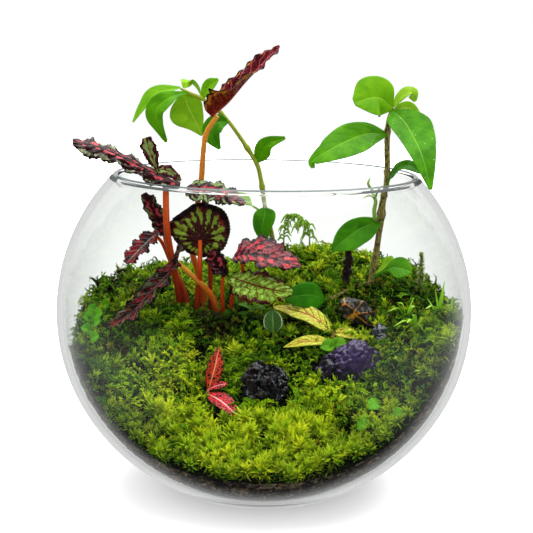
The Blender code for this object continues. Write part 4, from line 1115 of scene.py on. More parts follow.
@dataclass
class GlassBowl:
    """A blown bowl: a flat foot, a round belly and a drawn-in, flame-polished rim."""

    radius: float = 125.0
    foot: float = 55.2
    waist: float = 106.3
    rim_radius: float = 90.3
    rim_height: float = 190.1
    wall: float = 4.0
    lip: float = 2.3
    line: float = 0.9
    overlap: float = 0.8
    base: float = 8.0
    foot_edge: float = 1.2
    sides: int = 192
    steps: int = 40
    lip_steps: int = 14
    glass: BlownGlass = BlownGlass()
    # The lip's two skins are painted light and shade: a faint pale veil over the clear band and a dark grey
    # line along the top
    pale_painted_lip: LipPaintedLightShade = LipPaintedLightShade("lip_painted_pale_veil", "#d0d8d4", "#e8eeea", 0.1)
    dark_painted_lip_line: LipPaintedLightShade = LipPaintedLightShade("lip_painted_dark_line", "#242e2c", "#445250", 0.95)

    def half_height(self, upper: bool) -> float:
        """The vertical half axis of the belly's upper or lower half."""
        height = self.rim_height - self.waist if upper else self.waist
        return height / math.sqrt(1 - ((self.rim_radius if upper else self.foot) / self.radius) ** 2)

    def wall_radius(self, z: Points, inset: float) -> Points:
        """The wall's radius at each height, that many millimetres in from the outside."""
        half = np.where(z < self.waist, self.half_height(False), self.half_height(True)) - inset
        return (self.radius - inset) * np.sqrt(1 - np.minimum(1.0, np.abs(z - self.waist) / half) ** 2)

    def arc(self, angles: Points, inset: float, upper: bool) -> Points:
        """Radius and height along the wall at angles from the waist."""
        half = self.half_height(upper) - inset
        return np.stack([(self.radius - inset) * np.cos(angles), self.waist + half * np.sin(angles)], 1)

    def profile(self) -> Points:
        """The section from the middle of the foot, out, up, over the rounded lip and back inside.

        Returns:
            Radius and height of each point.
        """
        low, high = self.half_height(False), self.half_height(True) - self.wall / 2
        top = math.asin((self.rim_height - self.wall / 2 - self.waist) / high)
        start = -math.asin((self.waist - self.foot_edge) / low)
        rise = np.append(np.linspace(0, top - 0.004, self.steps), [top - 0.001, top])
        outside = [self.arc(np.linspace(start, 0, self.steps), 0, False), self.arc(rise[1:], 0, True)]
        floor = -math.asin((self.waist - self.base) / (low - self.wall))
        fall = np.linspace(0, floor, self.steps + 4)[1:]
        inside = [self.arc(rise[::-1], self.wall, True), self.arc(fall, self.wall, False)]
        outer, inner = outside[1][-1], inside[0][0]
        middle, across = (outer + inner) / 2, (outer - inner) / 2
        along = np.array([-across[1], across[0]])
        turns = np.linspace(0, np.pi, self.lip_steps)[1:-1, None]
        rounded = middle + across * np.cos(turns) + along * np.sin(turns)
        foot = [[0, 0], [self.foot - 3 * self.foot_edge, 0], [self.foot - self.foot_edge, 0.15]]
        return np.vstack([foot, *outside, rounded, *inside, [[0, self.base]]])

    def build(self) -> None:
        """Turns the section into the bowl."""
        shape = revolve(self.profile(), self.sides)
        x, y, z = shape.points[shape.faces].mean(axis=1).T
        outer = np.hypot(x, y) > self.wall_radius(z, self.wall / 2)
        depth = self.rim_height - shape.points[shape.faces, 2].min(axis=1)
        shape.finish = (depth < self.lip + self.overlap * outer).astype(int) + (depth < self.line)
        finishes = [self.glass, self.pale_painted_lip, self.dark_painted_lip_line]
        piece("blown_bowl", shape, finishes, "clear_glass", ["glass_bowl"])


@dataclass(frozen=True)
class Slope:
    """The ground's face: low at the front, level at the back, climbing the glass at the sides."""

    front_height: float = 33.0
    front_reach: float = 91.0
    rise: float = 0.62
    back_height: float = 112.0
    back_rise: float = 9.0
    bend: float = 9.0
    side_lift: float = 48.0
    side_reach: float = 108.0
    mound_height: float = 9.0
    mound: Place = (28.0, 62.0)
    mound_reach: float = 30.0
    cushion: float = 1.6

    def height(self, x: Points, y: Points) -> Points:
        """Height of the smooth face.

        Args:
            x: places across, to the right.
            y: places in depth, to the back.

        Returns:
            A height for each place.
        """
        x, y = np.asarray(x, float), np.asarray(y, float)
        slope = self.front_height + self.rise * (y + self.front_reach)
        level = self.back_height + self.back_rise * ease((x + 30) / 70)
        height = level - self.bend * np.log1p(np.exp((level - slope) / self.bend))
        climb = (np.abs(x) / self.side_reach) ** np.where(x < 0, 5, 3)
        fade = np.where(x < 0, (y + 38) / 10, (y + 15) / 16)
        height = height + self.side_lift * climb / (1 + np.exp(fade))
        away = (x - self.mound[0]) ** 2 + (y - self.mound[1]) ** 2
        return height + self.mound_height * np.exp(-away / self.mound_reach**2)

    def cushions(self, x: Points, y: Points) -> Points:
        """How far the moss's rounded cushions stand above or below the smooth face."""
        wave = np.sin(x / 6.3 + 1.1) * np.cos(y / 7.1) + 0.7 * np.sin((x + 1.7 * y) / 9.7)
        return self.cushion * wave

    def above(self, x: float, y: float, height: float) -> Place:
        """A point that far above the cushions."""
        return (x, y, float(self.height(x, y) + self.cushions(x, y)) + height)

    def root(self, x: float, y: float, depth: float) -> list[Place]:
        """Where a stalk starts: that deep in the ground, and just above it."""
        return [self.above(x, y, -depth), self.above(x, y, 1)]

    def normal(self, x: Points, y: Points) -> Points:
        """The way that the face looks.

        Args:
            x: places across, to the right.
            y: places in depth, to the back.

        Returns:
            A vector of length 1 for each place.
        """
        step = 2.0
        dx = (self.height(x + step, y) - self.height(x - step, y)) / (2 * step)
        dy = (self.height(x, y + step) - self.height(x, y - step)) / (2 * step)
        return unit(np.stack([-dx, -dy, np.ones_like(dx)], -1))


@dataclass
class Bed:
    """The soil and the felt of old moss that fill the bowl."""

    bowl: GlassBowl
    slope: Slope
    around: int = 240
    wall_gap: float = 1.0
    edge: float = 4.0
    depth: float = 14.0
    shore: float = 4.0
    floor_gap: float = 0.5
    rounds: int = 40
    lumps: Field = field(default_factory=lambda: Field(3))

    def turns(self) -> Points:
        """Directions round the bowl, from the front."""
        return 2 * np.pi * np.arange(self.around) / self.around

    def meeting(self, lift: float, shore: float = 0.0) -> Points:
        """How far out the face, raised by lift, meets the glass in each direction.

        Args:
            lift: how far the face is raised.
            shore: how much further it stays off the glass at the left.

        Returns:
            A radius for each direction.
        """
        angle = self.turns()
        gap = self.wall_gap + shore * np.maximum(0.0, -np.sin(angle)) ** 6
        radius = np.full(self.around, self.bowl.radius - 20)
        for _ in range(self.rounds):
            z = self.slope.height(radius * np.sin(angle), -radius * np.cos(angle)) + lift
            z = np.maximum(z, self.bowl.base + 4)
            radius = 0.5 * radius + 0.5 * (self.bowl.wall_radius(z, self.bowl.wall) - gap)
        return radius

    def ring(self, radius: Points, lift: Points | float) -> Points:
        """A ring over the ground, that far above its face."""
        x, y = radius * np.sin(self.turns()), -radius * np.cos(self.turns())
        return np.stack([x, y, self.slope.height(x, y) + lift], 1)

    def wall_rings(self, low: Points, high: Points, steps: int, crumble: float) -> list[Points]:
        """Rings up the glass between two rings, roughened inwards by up to that much.

        Args:
            low: the ring below.
            high: the ring above.
            steps: how many steps there are between them.
            crumble: the depth of the roughness.

        Returns:
            The rings between the two.
        """
        rings = []
        for k in range(1, steps):
            z = low[:, 2] + (high[:, 2] - low[:, 2]) * k / steps
            radius = self.bowl.wall_radius(z, self.bowl.wall) - self.wall_gap
            out = unit(high[:, :2])
            spots = np.column_stack([out * radius[:, None], z])
            radius = radius - crumble * (0.5 + 0.5 * self.lumps.rough(spots, 3.0))
            rings.append(np.column_stack([out * radius[:, None], z]))
        return rings

    def build_soil(self) -> None:
        """The soil from the bowl's floor up to the moss."""
        floor = self.bowl.base + self.floor_gap
        reach = float(self.bowl.wall_radius(np.array(floor), self.bowl.wall)) - self.wall_gap
        x, y = reach * np.sin(self.turns()), -reach * np.cos(self.turns())
        base = np.stack([x, y, np.full(self.around, floor)], 1)
        top = self.ring(self.meeting(-self.edge), -self.edge)
        rings = [base, *self.wall_rings(base, top, 44, 1.6), top]
        for share in np.linspace(0.97, 0.1, 16):
            drop = self.edge + (self.depth - self.edge) * ease((1 - share) * 4.5)
            rings.append(self.ring(self.meeting(-self.edge) * share, -drop))
        centre = float(self.slope.height(0, 0)) - self.depth
        shape = stack(rings, (0, 0, floor), (0, 0, centre))
        piece("packed_soil", shape, [PottingSoil()], "dark_soil", ["soil"])

    def build_felt(self) -> None:
        """The felt of old moss that the shoots stand in."""
        under = self.ring(self.meeting(-self.edge), 0.4 - self.edge)
        reach = self.meeting(0, self.shore)
        face = self.ring(reach, 0.0)
        rings = [self.ring(self.meeting(-self.edge) * share, 0.4 - self.depth) for share in (0.3, 0.6)]
        rings += [self.ring(self.meeting(-self.edge) * 0.85, -9.5), under]
        rings += [*self.wall_rings(under, face, 6, 1.0), face]
        for share in np.linspace(0.99, 0.02, 70):
            ring = self.ring(reach * share, 0.0)
            lump = self.slope.cushions(ring[:, 0], ring[:, 1]) + 0.9 * self.lumps.rough(ring, 5.0)
            ring[:, 2] += (lump - 0.6) * ease((1 - share) * 8)
            rings.append(ring)
        middle = float(self.slope.height(0, 0))
        shape = stack(rings, (0, 0, middle - self.depth + 0.4), (0, 0, middle))
        piece("moss_bed", shape, [MossFeltPaintedShade()], "moss", ["moss_carpet"])


# Moss shoots


@dataclass(frozen=True)
class Patch:
    """A round area of the moss with its own tone and its own height of shoots; a lower tone can also paint
    shade.
    """

    x: float
    y: float
    reach: float
    tone: float
    size: float = 1.0

    def weight(self, at: Points) -> Points:
        """How strongly each place belongs to the patch."""
        return np.exp(-((at[:, 0] - self.x) ** 2 + (at[:, 1] - self.y) ** 2) / self.reach**2)


class Habit(Enum):
    """How a moss shoot grows."""

    STAR = "star"
    PLUME = "plume"
    STRAND = "strand"


@dataclass(frozen=True)
class Shoot:
    """One habit of moss shoot, made in a few variants."""

    habit: Habit
    leaf_length: float
    leaf_width: float
    height: float
    variants: int = 6

    def template(self, draw: Draw) -> Shape:
        """One shoot, upright at the origin."""
        count = {Habit.STAR: 0, Habit.PLUME: 3, Habit.STRAND: 4}[self.habit]
        return Shape.join([self.finger(draw) for _ in range(count)]) if count else self.star(draw)

    def star(self, draw: Draw) -> Shape:
        """Whorls of pointed leaves round a short stem, the outer ones spread and the inner upright.

        Args:
            draw: the random generator.

        Returns:
            The shoot.
        """
        base, tip = [], []
        for count, tilt, low in ((6, 5, 0.2), (7, 20, 0.45), (7, 38, 0.65), (6, 58, 0.85), (3, 78, 1.0)):
            turn = draw.uniform(0, 2 * np.pi)
            for j in range(count):
                a = turn + 2 * np.pi * j / count + draw.normal(0, 0.2)
                up = math.radians(tilt + draw.normal(0, 11))
                out = np.array([math.cos(a) * math.cos(up), math.sin(a) * math.cos(up), math.sin(up)])
                start = np.array([0, 0, self.height * low]) + out * 0.2
                base.append(start)
                tip.append(start + out * self.leaf_length * draw.uniform(0.75, 1.2))
        return self.dressed(np.array(base), np.array(tip))

    def finger(self, draw: Draw) -> Shape:
        """One curled strand that bends out and over, clothed in leaflets that point forward.

        Args:
            draw: the random generator.

        Returns:
            The strand.
        """
        turn = draw.uniform(0, 2 * np.pi)
        out = np.array([math.cos(turn), math.sin(turn), 0])
        side = np.array([-out[1], out[0], 0]) * draw.normal(0, 0.3) * self.height
        reach, rise = self.height * draw.uniform(0.35, 0.95), self.height * draw.uniform(0.3, 0.8)
        up = np.array([0, 0, rise])
        bends = [0 * up, 0.25 * reach * out + 0.65 * up, 0.7 * reach * out + up + 0.4 * side]
        path = curve([*bends, reach * out + up * draw.uniform(0.55, 1.05) + side], 10)
        width = self.leaf_width * 0.55
        stem = tube(path, (width, 1.1 * width, 0.8 * width, 0.15 * width), sides=3, steps=6)
        ahead = unit(np.gradient(path, axis=0))
        base, tip = [], []
        rows, every = (2, 1) if self.habit is Habit.PLUME else (2, 2)
        for k in range(2, 10, every):
            across = np.cross(ahead[k], (0, 0, 1))
            over = np.cross(across, ahead[k])
            for j in range(rows):
                a = np.pi * j + (draw.uniform(0, np.pi) if self.habit is Habit.STRAND else 0.25)
                away = across * math.cos(a) + over * abs(math.sin(a)) + ahead[k] * 1.1
                base.append(path[k])
                tip.append(path[k] + unit(away) * self.leaf_length * draw.uniform(0.7, 1.1))
        leaves = self.dressed(np.array(base), np.array(tip))
        rise = np.clip(stem.points[:, 2] / self.height, 0, 1)
        stem.marks = {"tip": rise * 0.5 + 0.4 * stem.marks["along"]}
        return Shape.join([leaves, stem])

    def dressed(self, base: Points, tip: Points) -> Shape:
        """Leaflets between their bases and tips.

        Args:
            base: where they start.
            tip: where they end.

        Returns:
            The leaflets, with how near each point is to the shoot's tip as a mark.
        """
        width = np.full(len(base), self.leaf_width)
        face = np.tile([0.0, 0.0, 1.0], (len(base), 1)) + 0.2 * base
        points, faces = leaflets(base, tip, width, face)
        reach = np.clip(points[:, 2] / self.height, 0, 1.2) * 0.5
        near = np.tile([0.1, 0.35, 0.35, 0.5], len(base))
        return Shape(points, faces, {"tip": reach + near})


# The first patch darkens the moss under the begonia's leaves: partly its own browner tone, partly painted
# shade
PATCHES = [
    Patch(*row)
    for row in (
        (-30, 4, 20, -0.42, 0.6), (100, 28, 20, -0.38, 0.9), (-88, 38, 30, -0.3, 1.15),
        (-104, -20, 16, -0.34, 0.8), (58, 20, 16, -0.25, 0.7), (0, -80, 45, 0.2, 1.2),
        (-60, -45, 30, 0.14, 1.1), (30, 50, 28, 0.12, 1.0), (-70, -80, 22, -0.2, 0.8),
        (78, -62, 22, -0.08, 0.9), (-24, -51, 9, -0.15, 0.35), (-29, -44, 6, -0.1, 0.4),
        (66, -66, 11, 0.0, 0.45), (-106, 2, 9, 0.0, 0.5), (6, -3, 5, 0.0, 0.4), (44, -14, 9, -0.1, 0.35),
        (18, -14, 10, -0.05, 0.5),
    )
]


@dataclass
class MossCarpet:
    """The living moss: thousands of shoots of three habits over the felt, with dark gaps between them."""

    bowl: GlassBowl
    slope: Slope
    bed: Bed
    spacing: float = 2.9
    seed: int = 11
    gap: float = 0.5
    reach: float = 124.0
    wall_gap: float = 2.2
    sink: float = 0.8
    lean: float = 0.22
    tip_gap: float = 0.4
    clear: Sequence[Sequence[float]] = (
        (1, -41, 14, 10), (50, -28, 20, 11), (59.5, 9, 13, 7.5), (70.7, -6, 5.5, 4.5),
    )
    patches: Sequence[Patch] = field(default_factory=lambda: PATCHES)
    # The leaflets are drawn wider than real ones, which would be too fine to show
    shoots: dict[Habit, Shoot] = field(
        default_factory=lambda: {
            Habit.STAR: Shoot(Habit.STAR, 4.3, 1.0, 4.6),
            Habit.PLUME: Shoot(Habit.PLUME, 2.1, 0.75, 8.6),
            Habit.STRAND: Shoot(Habit.STRAND, 1.6, 0.95, 9.0),
        }
    )

    def places(self, draw: Draw) -> Points:
        """Places over the ground on a jittered grid, clear of the stones and the glass.

        Args:
            draw: the random generator.

        Returns:
            Two columns, the places across and in depth.
        """
        across = np.arange(-self.reach, self.reach, self.spacing)
        x, y = np.meshgrid(across, across * 0.9)
        at = np.stack([x.ravel(), y.ravel()], 1)
        at = at + draw.uniform(-0.5, 0.5, at.shape) * self.spacing
        z = self.slope.height(at[:, 0], at[:, 1])
        reach = self.bowl.wall_radius(z, self.bowl.wall) - self.wall_gap
        reach = reach - self.bed.shore * np.clip(-at[:, 0] / self.bowl.radius, 0, 1) ** 6
        keep = np.hypot(at[:, 0], at[:, 1]) < reach
        for cx, cy, rx, ry in self.clear:
            keep &= ((at[:, 0] - cx) / rx) ** 2 + ((at[:, 1] - cy) / ry) ** 2 > 1
        return at[keep & (Field(21).over(at, 6.5) < self.gap)]

    def choose(self, at: Points, draw: Draw) -> Points:
        """The number of each place's habit.

        Args:
            at: the places.
            draw: the random generator.

        Returns:
            A number for each place.
        """
        drift = Field(5).over(at, 22)
        star = 0.18 + 0.75 * ease((-42 - at[:, 1]) / 30 + 0.5 * drift)
        plume = 0.3 + 0.3 * drift
        roll = draw.uniform(size=len(at))
        return np.where(roll < star, 0, np.where(roll < star + plume * (1 - star), 1, 2))

    def build(self) -> None:
        """Plants the shoots, one piece for each habit and side of the bowl."""
        draw = np.random.default_rng(self.seed)
        at = self.places(draw)
        habit = self.choose(at, draw)
        drift = Field(8).rough(np.column_stack([at, 0 * at[:, 0]]), 16)
        clump = Field(13).over(at, 7)
        tone = 0.6 + 0.18 * drift + 0.16 * clump + draw.normal(0, 0.13, len(at))
        size = np.clip(1.0 + draw.normal(0, 0.2, len(at)) + 0.12 * drift + 0.2 * clump, 0.55, 1.5)
        for patch in self.patches:
            tone += patch.tone * patch.weight(at)
            size *= 1 + (patch.size - 1) * patch.weight(at)
        zone = np.digitize(at[:, 0], (-38, 38)) + 3 * (at[:, 1] > -5).astype(int)
        words = [f"{depth}_{side}" for depth in ("front", "back") for side in ("left", "middle", "right")]
        for number, (kind, shoot) in enumerate(self.shoots.items()):
            templates = [shoot.template(draw) for _ in range(shoot.variants)]
            for side, word in enumerate(words):
                chosen = np.flatnonzero((habit == number) & (zone == side))
                variant = draw.integers(0, shoot.variants, len(chosen))
                groups = [chosen[variant == v] for v in range(shoot.variants)]
                planted = [self.plant(t, at[g], tone[g], size[g], draw) for t, g in zip(templates, groups)]
                shape = Shape.join(planted)
                piece(f"moss_{kind.value}s_{word}", shape, [MossLeaf()], "moss", smooth=False)

    def plant(
        self, template: Shape, at: Points, tone: Points, size: Points, draw: Draw
    ) -> Shape:
        """Copies a shoot to every place, leaning and turned its own way.

        Args:
            template: the shoot.
            at: the places.
            tone: the tone of each copy.
            size: the size of each copy.
            draw: the random generator.

        Returns:
            All the copies in one.
        """
        count, each = len(at), len(template.points)
        x, y = at.T
        z = self.slope.height(x, y) + self.slope.cushions(x, y) - self.sink
        up = self.slope.normal(x, y) * 0.8 + [0, -0.1, 0.35] + draw.normal(0, self.lean, (count, 3))
        up = unit(up)
        spin = draw.uniform(0, 2 * np.pi, count)
        side = np.stack([np.cos(spin), np.sin(spin), 0 * spin], 1)
        side = unit(side - up * (side * up).sum(1, keepdims=True))
        axes = np.stack([side, np.cross(up, side), up], 1)
        points = np.einsum("pk,nkj->npj", template.points, axes) * size[:, None, None]
        points = (points + np.column_stack([x, y, z])[:, None]).reshape(-1, 3)
        limit = self.bowl.wall_radius(points[:, 2], self.bowl.wall) - self.tip_gap
        radius = np.hypot(points[:, 0], points[:, 1])
        points[:, :2] *= np.minimum(1, limit / np.maximum(radius, 1e-6))[:, None]
        faces = (template.faces + each * np.arange(count)[:, None, None]).reshape(-1, 3)
        marks = {"tip": np.tile(template.marks["tip"], count), "tone": np.repeat(tone, each)}
        return Shape(points, faces, marks)


# Stones


@dataclass(frozen=True)
class Stone:
    """A broken stone: the CAD model's hull with chipped relief cut into it."""

    node: str
    mineral: Mineral
    chip: float = 2.0
    depth: float = 0.8
    breaks: int = 70
    tilt: float = 0.4
    seed: int = 1
    detail: int = 6
    lit: Place = (0.3, -0.25, 0.9)

    def hull(self) -> BVHTree:
        """The CAD hull, in millimetres.

        Returns:
            The hull, ready for rays to be cast at it.
        """
        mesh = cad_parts[self.node].data
        points = [v.co / MM for v in mesh.vertices]
        return BVHTree.FromPolygons(points, [tuple(p.vertices) for p in mesh.polygons])

    def centre(self) -> Points:
        """The middle of the CAD hull's box."""
        low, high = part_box(self.node)
        return np.array((low + high) / 2) / MM

    def surface(self) -> tuple[Points, Points, Points]:
        """Points on the hull, the directions from its middle to them, and the triangles.

        Returns:
            The points, the directions and the triangles.
        """
        ball = bmesh.new()
        bmesh.ops.create_icosphere(ball, subdivisions=self.detail, radius=1)
        way = np.array([v.co.normalized() for v in ball.verts])
        faces = np.array([[v.index for v in f.verts] for f in ball.faces])
        ball.free()
        centre, hull = self.centre(), self.hull()
        reach = np.array([hull.ray_cast(Vector(centre), Vector(d))[3] for d in way])
        return centre + way * reach[:, None], way, faces

    def facets(self, points: Points, way: Points) -> tuple[Points, Points]:
        """Flat breaks: each point moves on to the one that is nearest to it.

        Args:
            points: points on the stone.
            way: the direction from its middle to each.

        Returns:
            How far each point moves, and how far it lies from the edge of its break.
        """
        draw = np.random.default_rng(self.seed)
        chosen = draw.choice(len(points), self.breaks, replace=False)
        looks = unit(way[chosen] + draw.normal(0, self.tilt, (self.breaks, 3)))
        middle = points[chosen]
        bent = points + 0.4 * np.stack([Field(k).at(points, 4.0) for k in (31, 32, 33)], 1)
        away = np.linalg.norm(bent[:, None] - middle[None], axis=-1)
        order = np.argpartition(away, 1, axis=1)[:, :2]
        near = np.take_along_axis(away, order, axis=1)
        nearest = np.take_along_axis(order, near.argmin(axis=1)[:, None], axis=1)[:, 0]
        look = looks[nearest]
        gap = ((middle[nearest] - points) * look).sum(1) / np.maximum((way * look).sum(1), 0.4)
        return np.clip(gap, -2 * self.depth, self.depth), np.abs(near[:, 0] - near[:, 1])

    def build(self) -> None:
        """The stone with its breaks and chips."""
        points, way, faces = self.surface()
        cut, seam = self.facets(points, way)
        cut = cut + 0.12 * Field(self.seed).rough(points, self.chip)
        points = points + way * (cut - self.depth)[:, None]
        # The crown mark is how far each point faces the lit way, for painted light
        shape = Shape(points, faces, {"seam": seam, "crown": way @ self.lit})
        piece(f"{self.node}_face", shape, [self.mineral], self.node, [self.node], smooth=False)


@dataclass(frozen=True)
class Amethyst(Stone):
    """An amethyst with blunt, melted-looking crystals: its purple painted on as light on the side that
    faces the lamp, black below.
    """

    knobs: int = 330
    knob: float = 2.2
    swell: float = 1.8
    inset: float = 1.7

    def build(self) -> None:
        """The stone and its knobs."""
        points, way, faces = self.surface()
        draw = np.random.default_rng(self.seed)
        middle = points[draw.choice(len(points), self.knobs, replace=False)]
        away = np.linalg.norm(points[:, None] - middle[None], axis=-1).min(axis=1)
        swell = self.swell * np.sqrt(np.clip(1 - (away / self.knob) ** 2, 0, 1))
        swell += 0.7 * Field(self.seed).rough(points, 7.0) + 0.25 * Field(2).rough(points, 1.6)
        # The crown mark is how far each point faces the lit way, for painted light
        marks = {"seam": away, "crown": way @ self.lit}
        shape = Shape(points + way * (swell - self.inset)[:, None], faces, marks)
        piece("amethyst_face", shape, [self.mineral], "amethyst", [self.node])


# Begonia

PETIOLE_ROUTES = {
    1: [
        (-38, 20, 97), (-38, 23, 107), (-42, 25, 125), (-46, 26, 140), (-43.5, 26, 161), (-40, 23, 182),
        (-38.5, 18, 200), (-36.5, 15, 212),
    ],
    2: [(-53, 23, 97), (-54, 19, 114), (-57, 14, 132), (-59, 9, 146), (-60, 5, 160)],
    3: [(-34, 20, 97), (-34, 21, 127), (-37, 21, 150), (-39, 20, 165)],
    4: [(-43, 20, 97), (-41, 15, 115), (-39.5, 4, 131)],
    5: [(-49, 22, 97), (-51, 22, 113), (-59, 22, 132)],
    6: [(-47, 21, 97), (-50, 20, 113), (-58, 17, 131), (-63, 13, 144)],
    7: [(-27, 19, 97), (-34, 14, 113), (-42, 7.5, 123)],
    8: [(-25, 19, 97), (-26, 14, 108)],
    9: [(-16, 21, 97), (-13, 22, 118)],
    10: [(-20, 20, 97), (-20, 16, 110)],
}
PETIOLE_RADII = {1: (2.0, 1.8, 1.5), 2: (2.1, 2.2, 1.9), 4: (1.9, 1.7, 1.2), 7: (1.9, 1.7, 1.3)}
SLIM_PETIOLE = (1.5, 1.3, 1.0)

BEGONIA_BLADES = {
    1: Blade(
        [(-33, 12.5, 222), (-23, 11, 231), (-13, 8, 243), (-2, 6, 255), (7, 4, 265)], (-0.72, 0.1, 0.69),
        (3, 11, 13, 10, 9, 8, 5, 1), (6, 17, 17, 13, 10, 9, 8, 1), fold=(62, 12), turn=48, wave=1.6,
        waves=3.5, teeth=4, attach=0.06, pucker=0.35, frill=0.1, saw=9,
    ),
    2: Blade(
        [(-52, 9, 181), (-70, 4, 190), (-87, -1, 199), (-101, -4, 205), (-114, -8, 208)], (0.25, -0.5, 0.8),
        (3, 8, 8, 7, 7, 9, 9, 3), (3, 9, 11, 11, 11, 10, 8, 3), fold=(-22, -20), wave=1.6, waves=5, teeth=6,
        attach=0.11, saw=12,
    ),
    3: Blade(
        [(-48, 10, 178), (-35, 9, 178), (-24, 6, 176), (-12, 2, 171)], (0.1, -0.5, 0.85),
        (6, 10, 10, 9, 7, 2), (6, 12, 12, 10, 8, 2), fold=(6, 0), wave=1.3, waves=3.5, teeth=5, droop=0.1,
        attach=0.3,
    ),
    4: Blade(
        [(-42, 7, 138), (-39.5, 7.5, 148), (-39, 9, 160), (-41, 11, 170)], (0.05, 0.93, 0.2),
        (5, 13, 17, 18, 17, 12, 3), (6, 16, 20, 22, 22, 18, 4), fold=(12, 12), wave=1.2, waves=4, teeth=0,
        attach=0.32, veining=Veining.FAN, veins=9, saw=26,
    ),
    5: Blade(
        [(-63.5, 22, 148), (-66, 22, 157), (-71, 19, 167), (-75.5, 16, 175)], (-0.35, -0.65, 0.65),
        (2, 5, 5, 5, 4, 2), (2, 6, 7, 6, 5, 2), fold=(25, 10), wave=1.4, waves=3, teeth=5,
    ),
    6: Blade(
        [(-65, 9, 152), (-71, 6, 147), (-77, 2, 141), (-84, -2, 134)], (-0.45, -0.55, 0.72),
        (2, 8, 9, 8, 7, 3), (2, 7, 8, 8, 7, 3), fold=(18, 8), wave=1.5, waves=3.5, teeth=6,
    ),
    7: Blade(
        [
            (-51, 3, 145), (-54, 3, 134), (-60, 2, 126), (-69.5, 1, 116), (-79.5, 1, 104.5), (-89, 1, 97.5),
            (-99, 2, 92),
        ], (-0.35, -0.72, 0.62), (3, 4, 7, 10, 10, 9, 7, 5, 1), (2, 3, 5, 7, 7, 7, 6, 4, 1), fold=(40, 15),
        wave=2.0, waves=6, teeth=9, attach=0.16, veins=12,
    ),
    8: Blade(
        [(-23.5, 8, 126), (-30, 4.5, 134), (-34, 1, 142)], (0.35, -0.82, 0.45), (2, 6, 7, 6, 2),
        fold=(25, 15), wave=1.3, waves=2.5, teeth=4, veins=6,
    ),
    9: Blade(
        [(-19, 14, 136), (-9, 10, 139), (6, 2, 137), (22, -6, 134)], (0.12, -0.5, 0.86),
        (5, 12, 17, 17, 14, 9, 1), (5, 10, 12, 12, 11, 7, 1), fold=(10, 4), wave=1.5, waves=4, teeth=7,
        attach=0.14, pucker=0.45, frill=0.25,
    ),
    10: Blade(
        [(-20, 11, 124), (-8, 5, 121), (5, -1, 119), (17, -5, 118)], (0.1, -0.8, 0.6),
        (3, 7, 10, 10, 8, 6, 2), (5, 11, 13, 13, 11, 7, 2), fold=(6, 4), wave=1.6, waves=3.5, teeth=7,
        attach=0.14,
    ),
}

# Basal lobes of the second leaf: one stands up, the other curls away to the right
LOBE_UP = Blade(
    [(-65, 6, 189), (-67, 5, 194), (-70, 4, 202), (-72, 3, 210)], (0.2, -0.9, 0.4), (1, 2, 4.5, 5.5, 3),
    (1, 2, 4.5, 5, 3), fold=(30, 15), wave=0.9, waves=2.5, teeth=4, veins=5,
)
LOBE_RIGHT = Blade(
    [(-67, 6, 189), (-62, 10, 190), (-57, 14, 187), (-52, 16, 183)], (0.3, -0.85, 0.45), (2, 3, 4, 3, 1),
    (2, 4, 4, 3, 1), fold=(10, 10), wave=0.9, waves=3, teeth=5, veins=5,
)

BEGONIA_FACES = {
    number: BegoniaBlade(f"begonia_face_{number}", ground, tuple(Blotch(*row) for row in blotches), *veins)
    for number, (ground, blotches, *veins) in {
        1: ("#6c1016", [("#e08a28", 0.5, 6, 0.95, 0.9)], "#e8687a", 0.12),
        2: (
            "#380e14", [("#868f6c", 0.5, 4, 0.75, 0.6), ("#cc404a", 0.53, 4, 0.2, 0.9)], "#1c060a", 0.2,
        ),
        3: (
            "#3c0e14", [("#7c9454", 0.5, 5, 0.8, 0.5), ("#b02c38", 0.52, 5, 0.2, 0.6)], "#1c060a", 0.2,
        ),
        4: ("#301008", [("#8aa032", 0.46, 3, 0.7, 0.9)], "#a89a40", 0.1),
        5: ("#42101a", [("#6c7c40", 0.52, 4, 0.7, 0.5), ("#c04048", 0.56, 4, 0.3, 0.5)], "#24080c"),
        6: ("#3a2a30", [("#8c1a20", 0.48, 7, 0.6, 0.3)], "#a89c90", 0.08),
        7: (
            "#341814", [("#5c6440", 0.56, 4, 0.7, 0.3), ("#8c1c24", 0.54, 4, 0.4, 0.3)], "#8c7470", 0.1,
        ),
        8: ("#2a0a10", [("#c03c48", 0.56, 4, 0.4, 0.3)], "#14040a", 0.25),
        9: (
            "#22080e", [("#7c2c34", 0.42, 3, 0.5, 0.2), ("#c4303a", 0.53, 4.5, 0.4, 0.5)], "#12040a",
            0.3, 0.7, "#1c0608", 0.15, 0.24,
        ),
        10: (
            "#98c438", [("#b4dc5c", 0.54, 3, 0.4, 0.3), ("#581420", 0.42, 6, 1.0, 0.7)], "#6c0c18",
            0.16, 0.9, "#38080f", 0.15, 0.2,
        ),
    }.items()
}
BEGONIA_BACKS = {
    1: BegoniaBlade(
        "begonia_back_1", "#a42c14", (Blotch("#d08420", 0.44, 6, 0.85, 0.6),), "#c05860", 0.1, 0.5,
        glow=0.4,
    ),
    4: BegoniaBlade(
        "begonia_back_4", "#44160e",
        (Blotch("#7a1a1c", 0.5, 9, 1.0, 0.5), Blotch("#809c28", 0.39, 2.6, 0.64, 0.9, 0.26)), "#4c1414",
        0.3, 0.8,
    ),
}
RED_BACK = BegoniaBlade("begonia_back", "#6c0e16", (Blotch("#9c2028", 0.5, 5),), "#d85460", 0.1, glow=0.25)


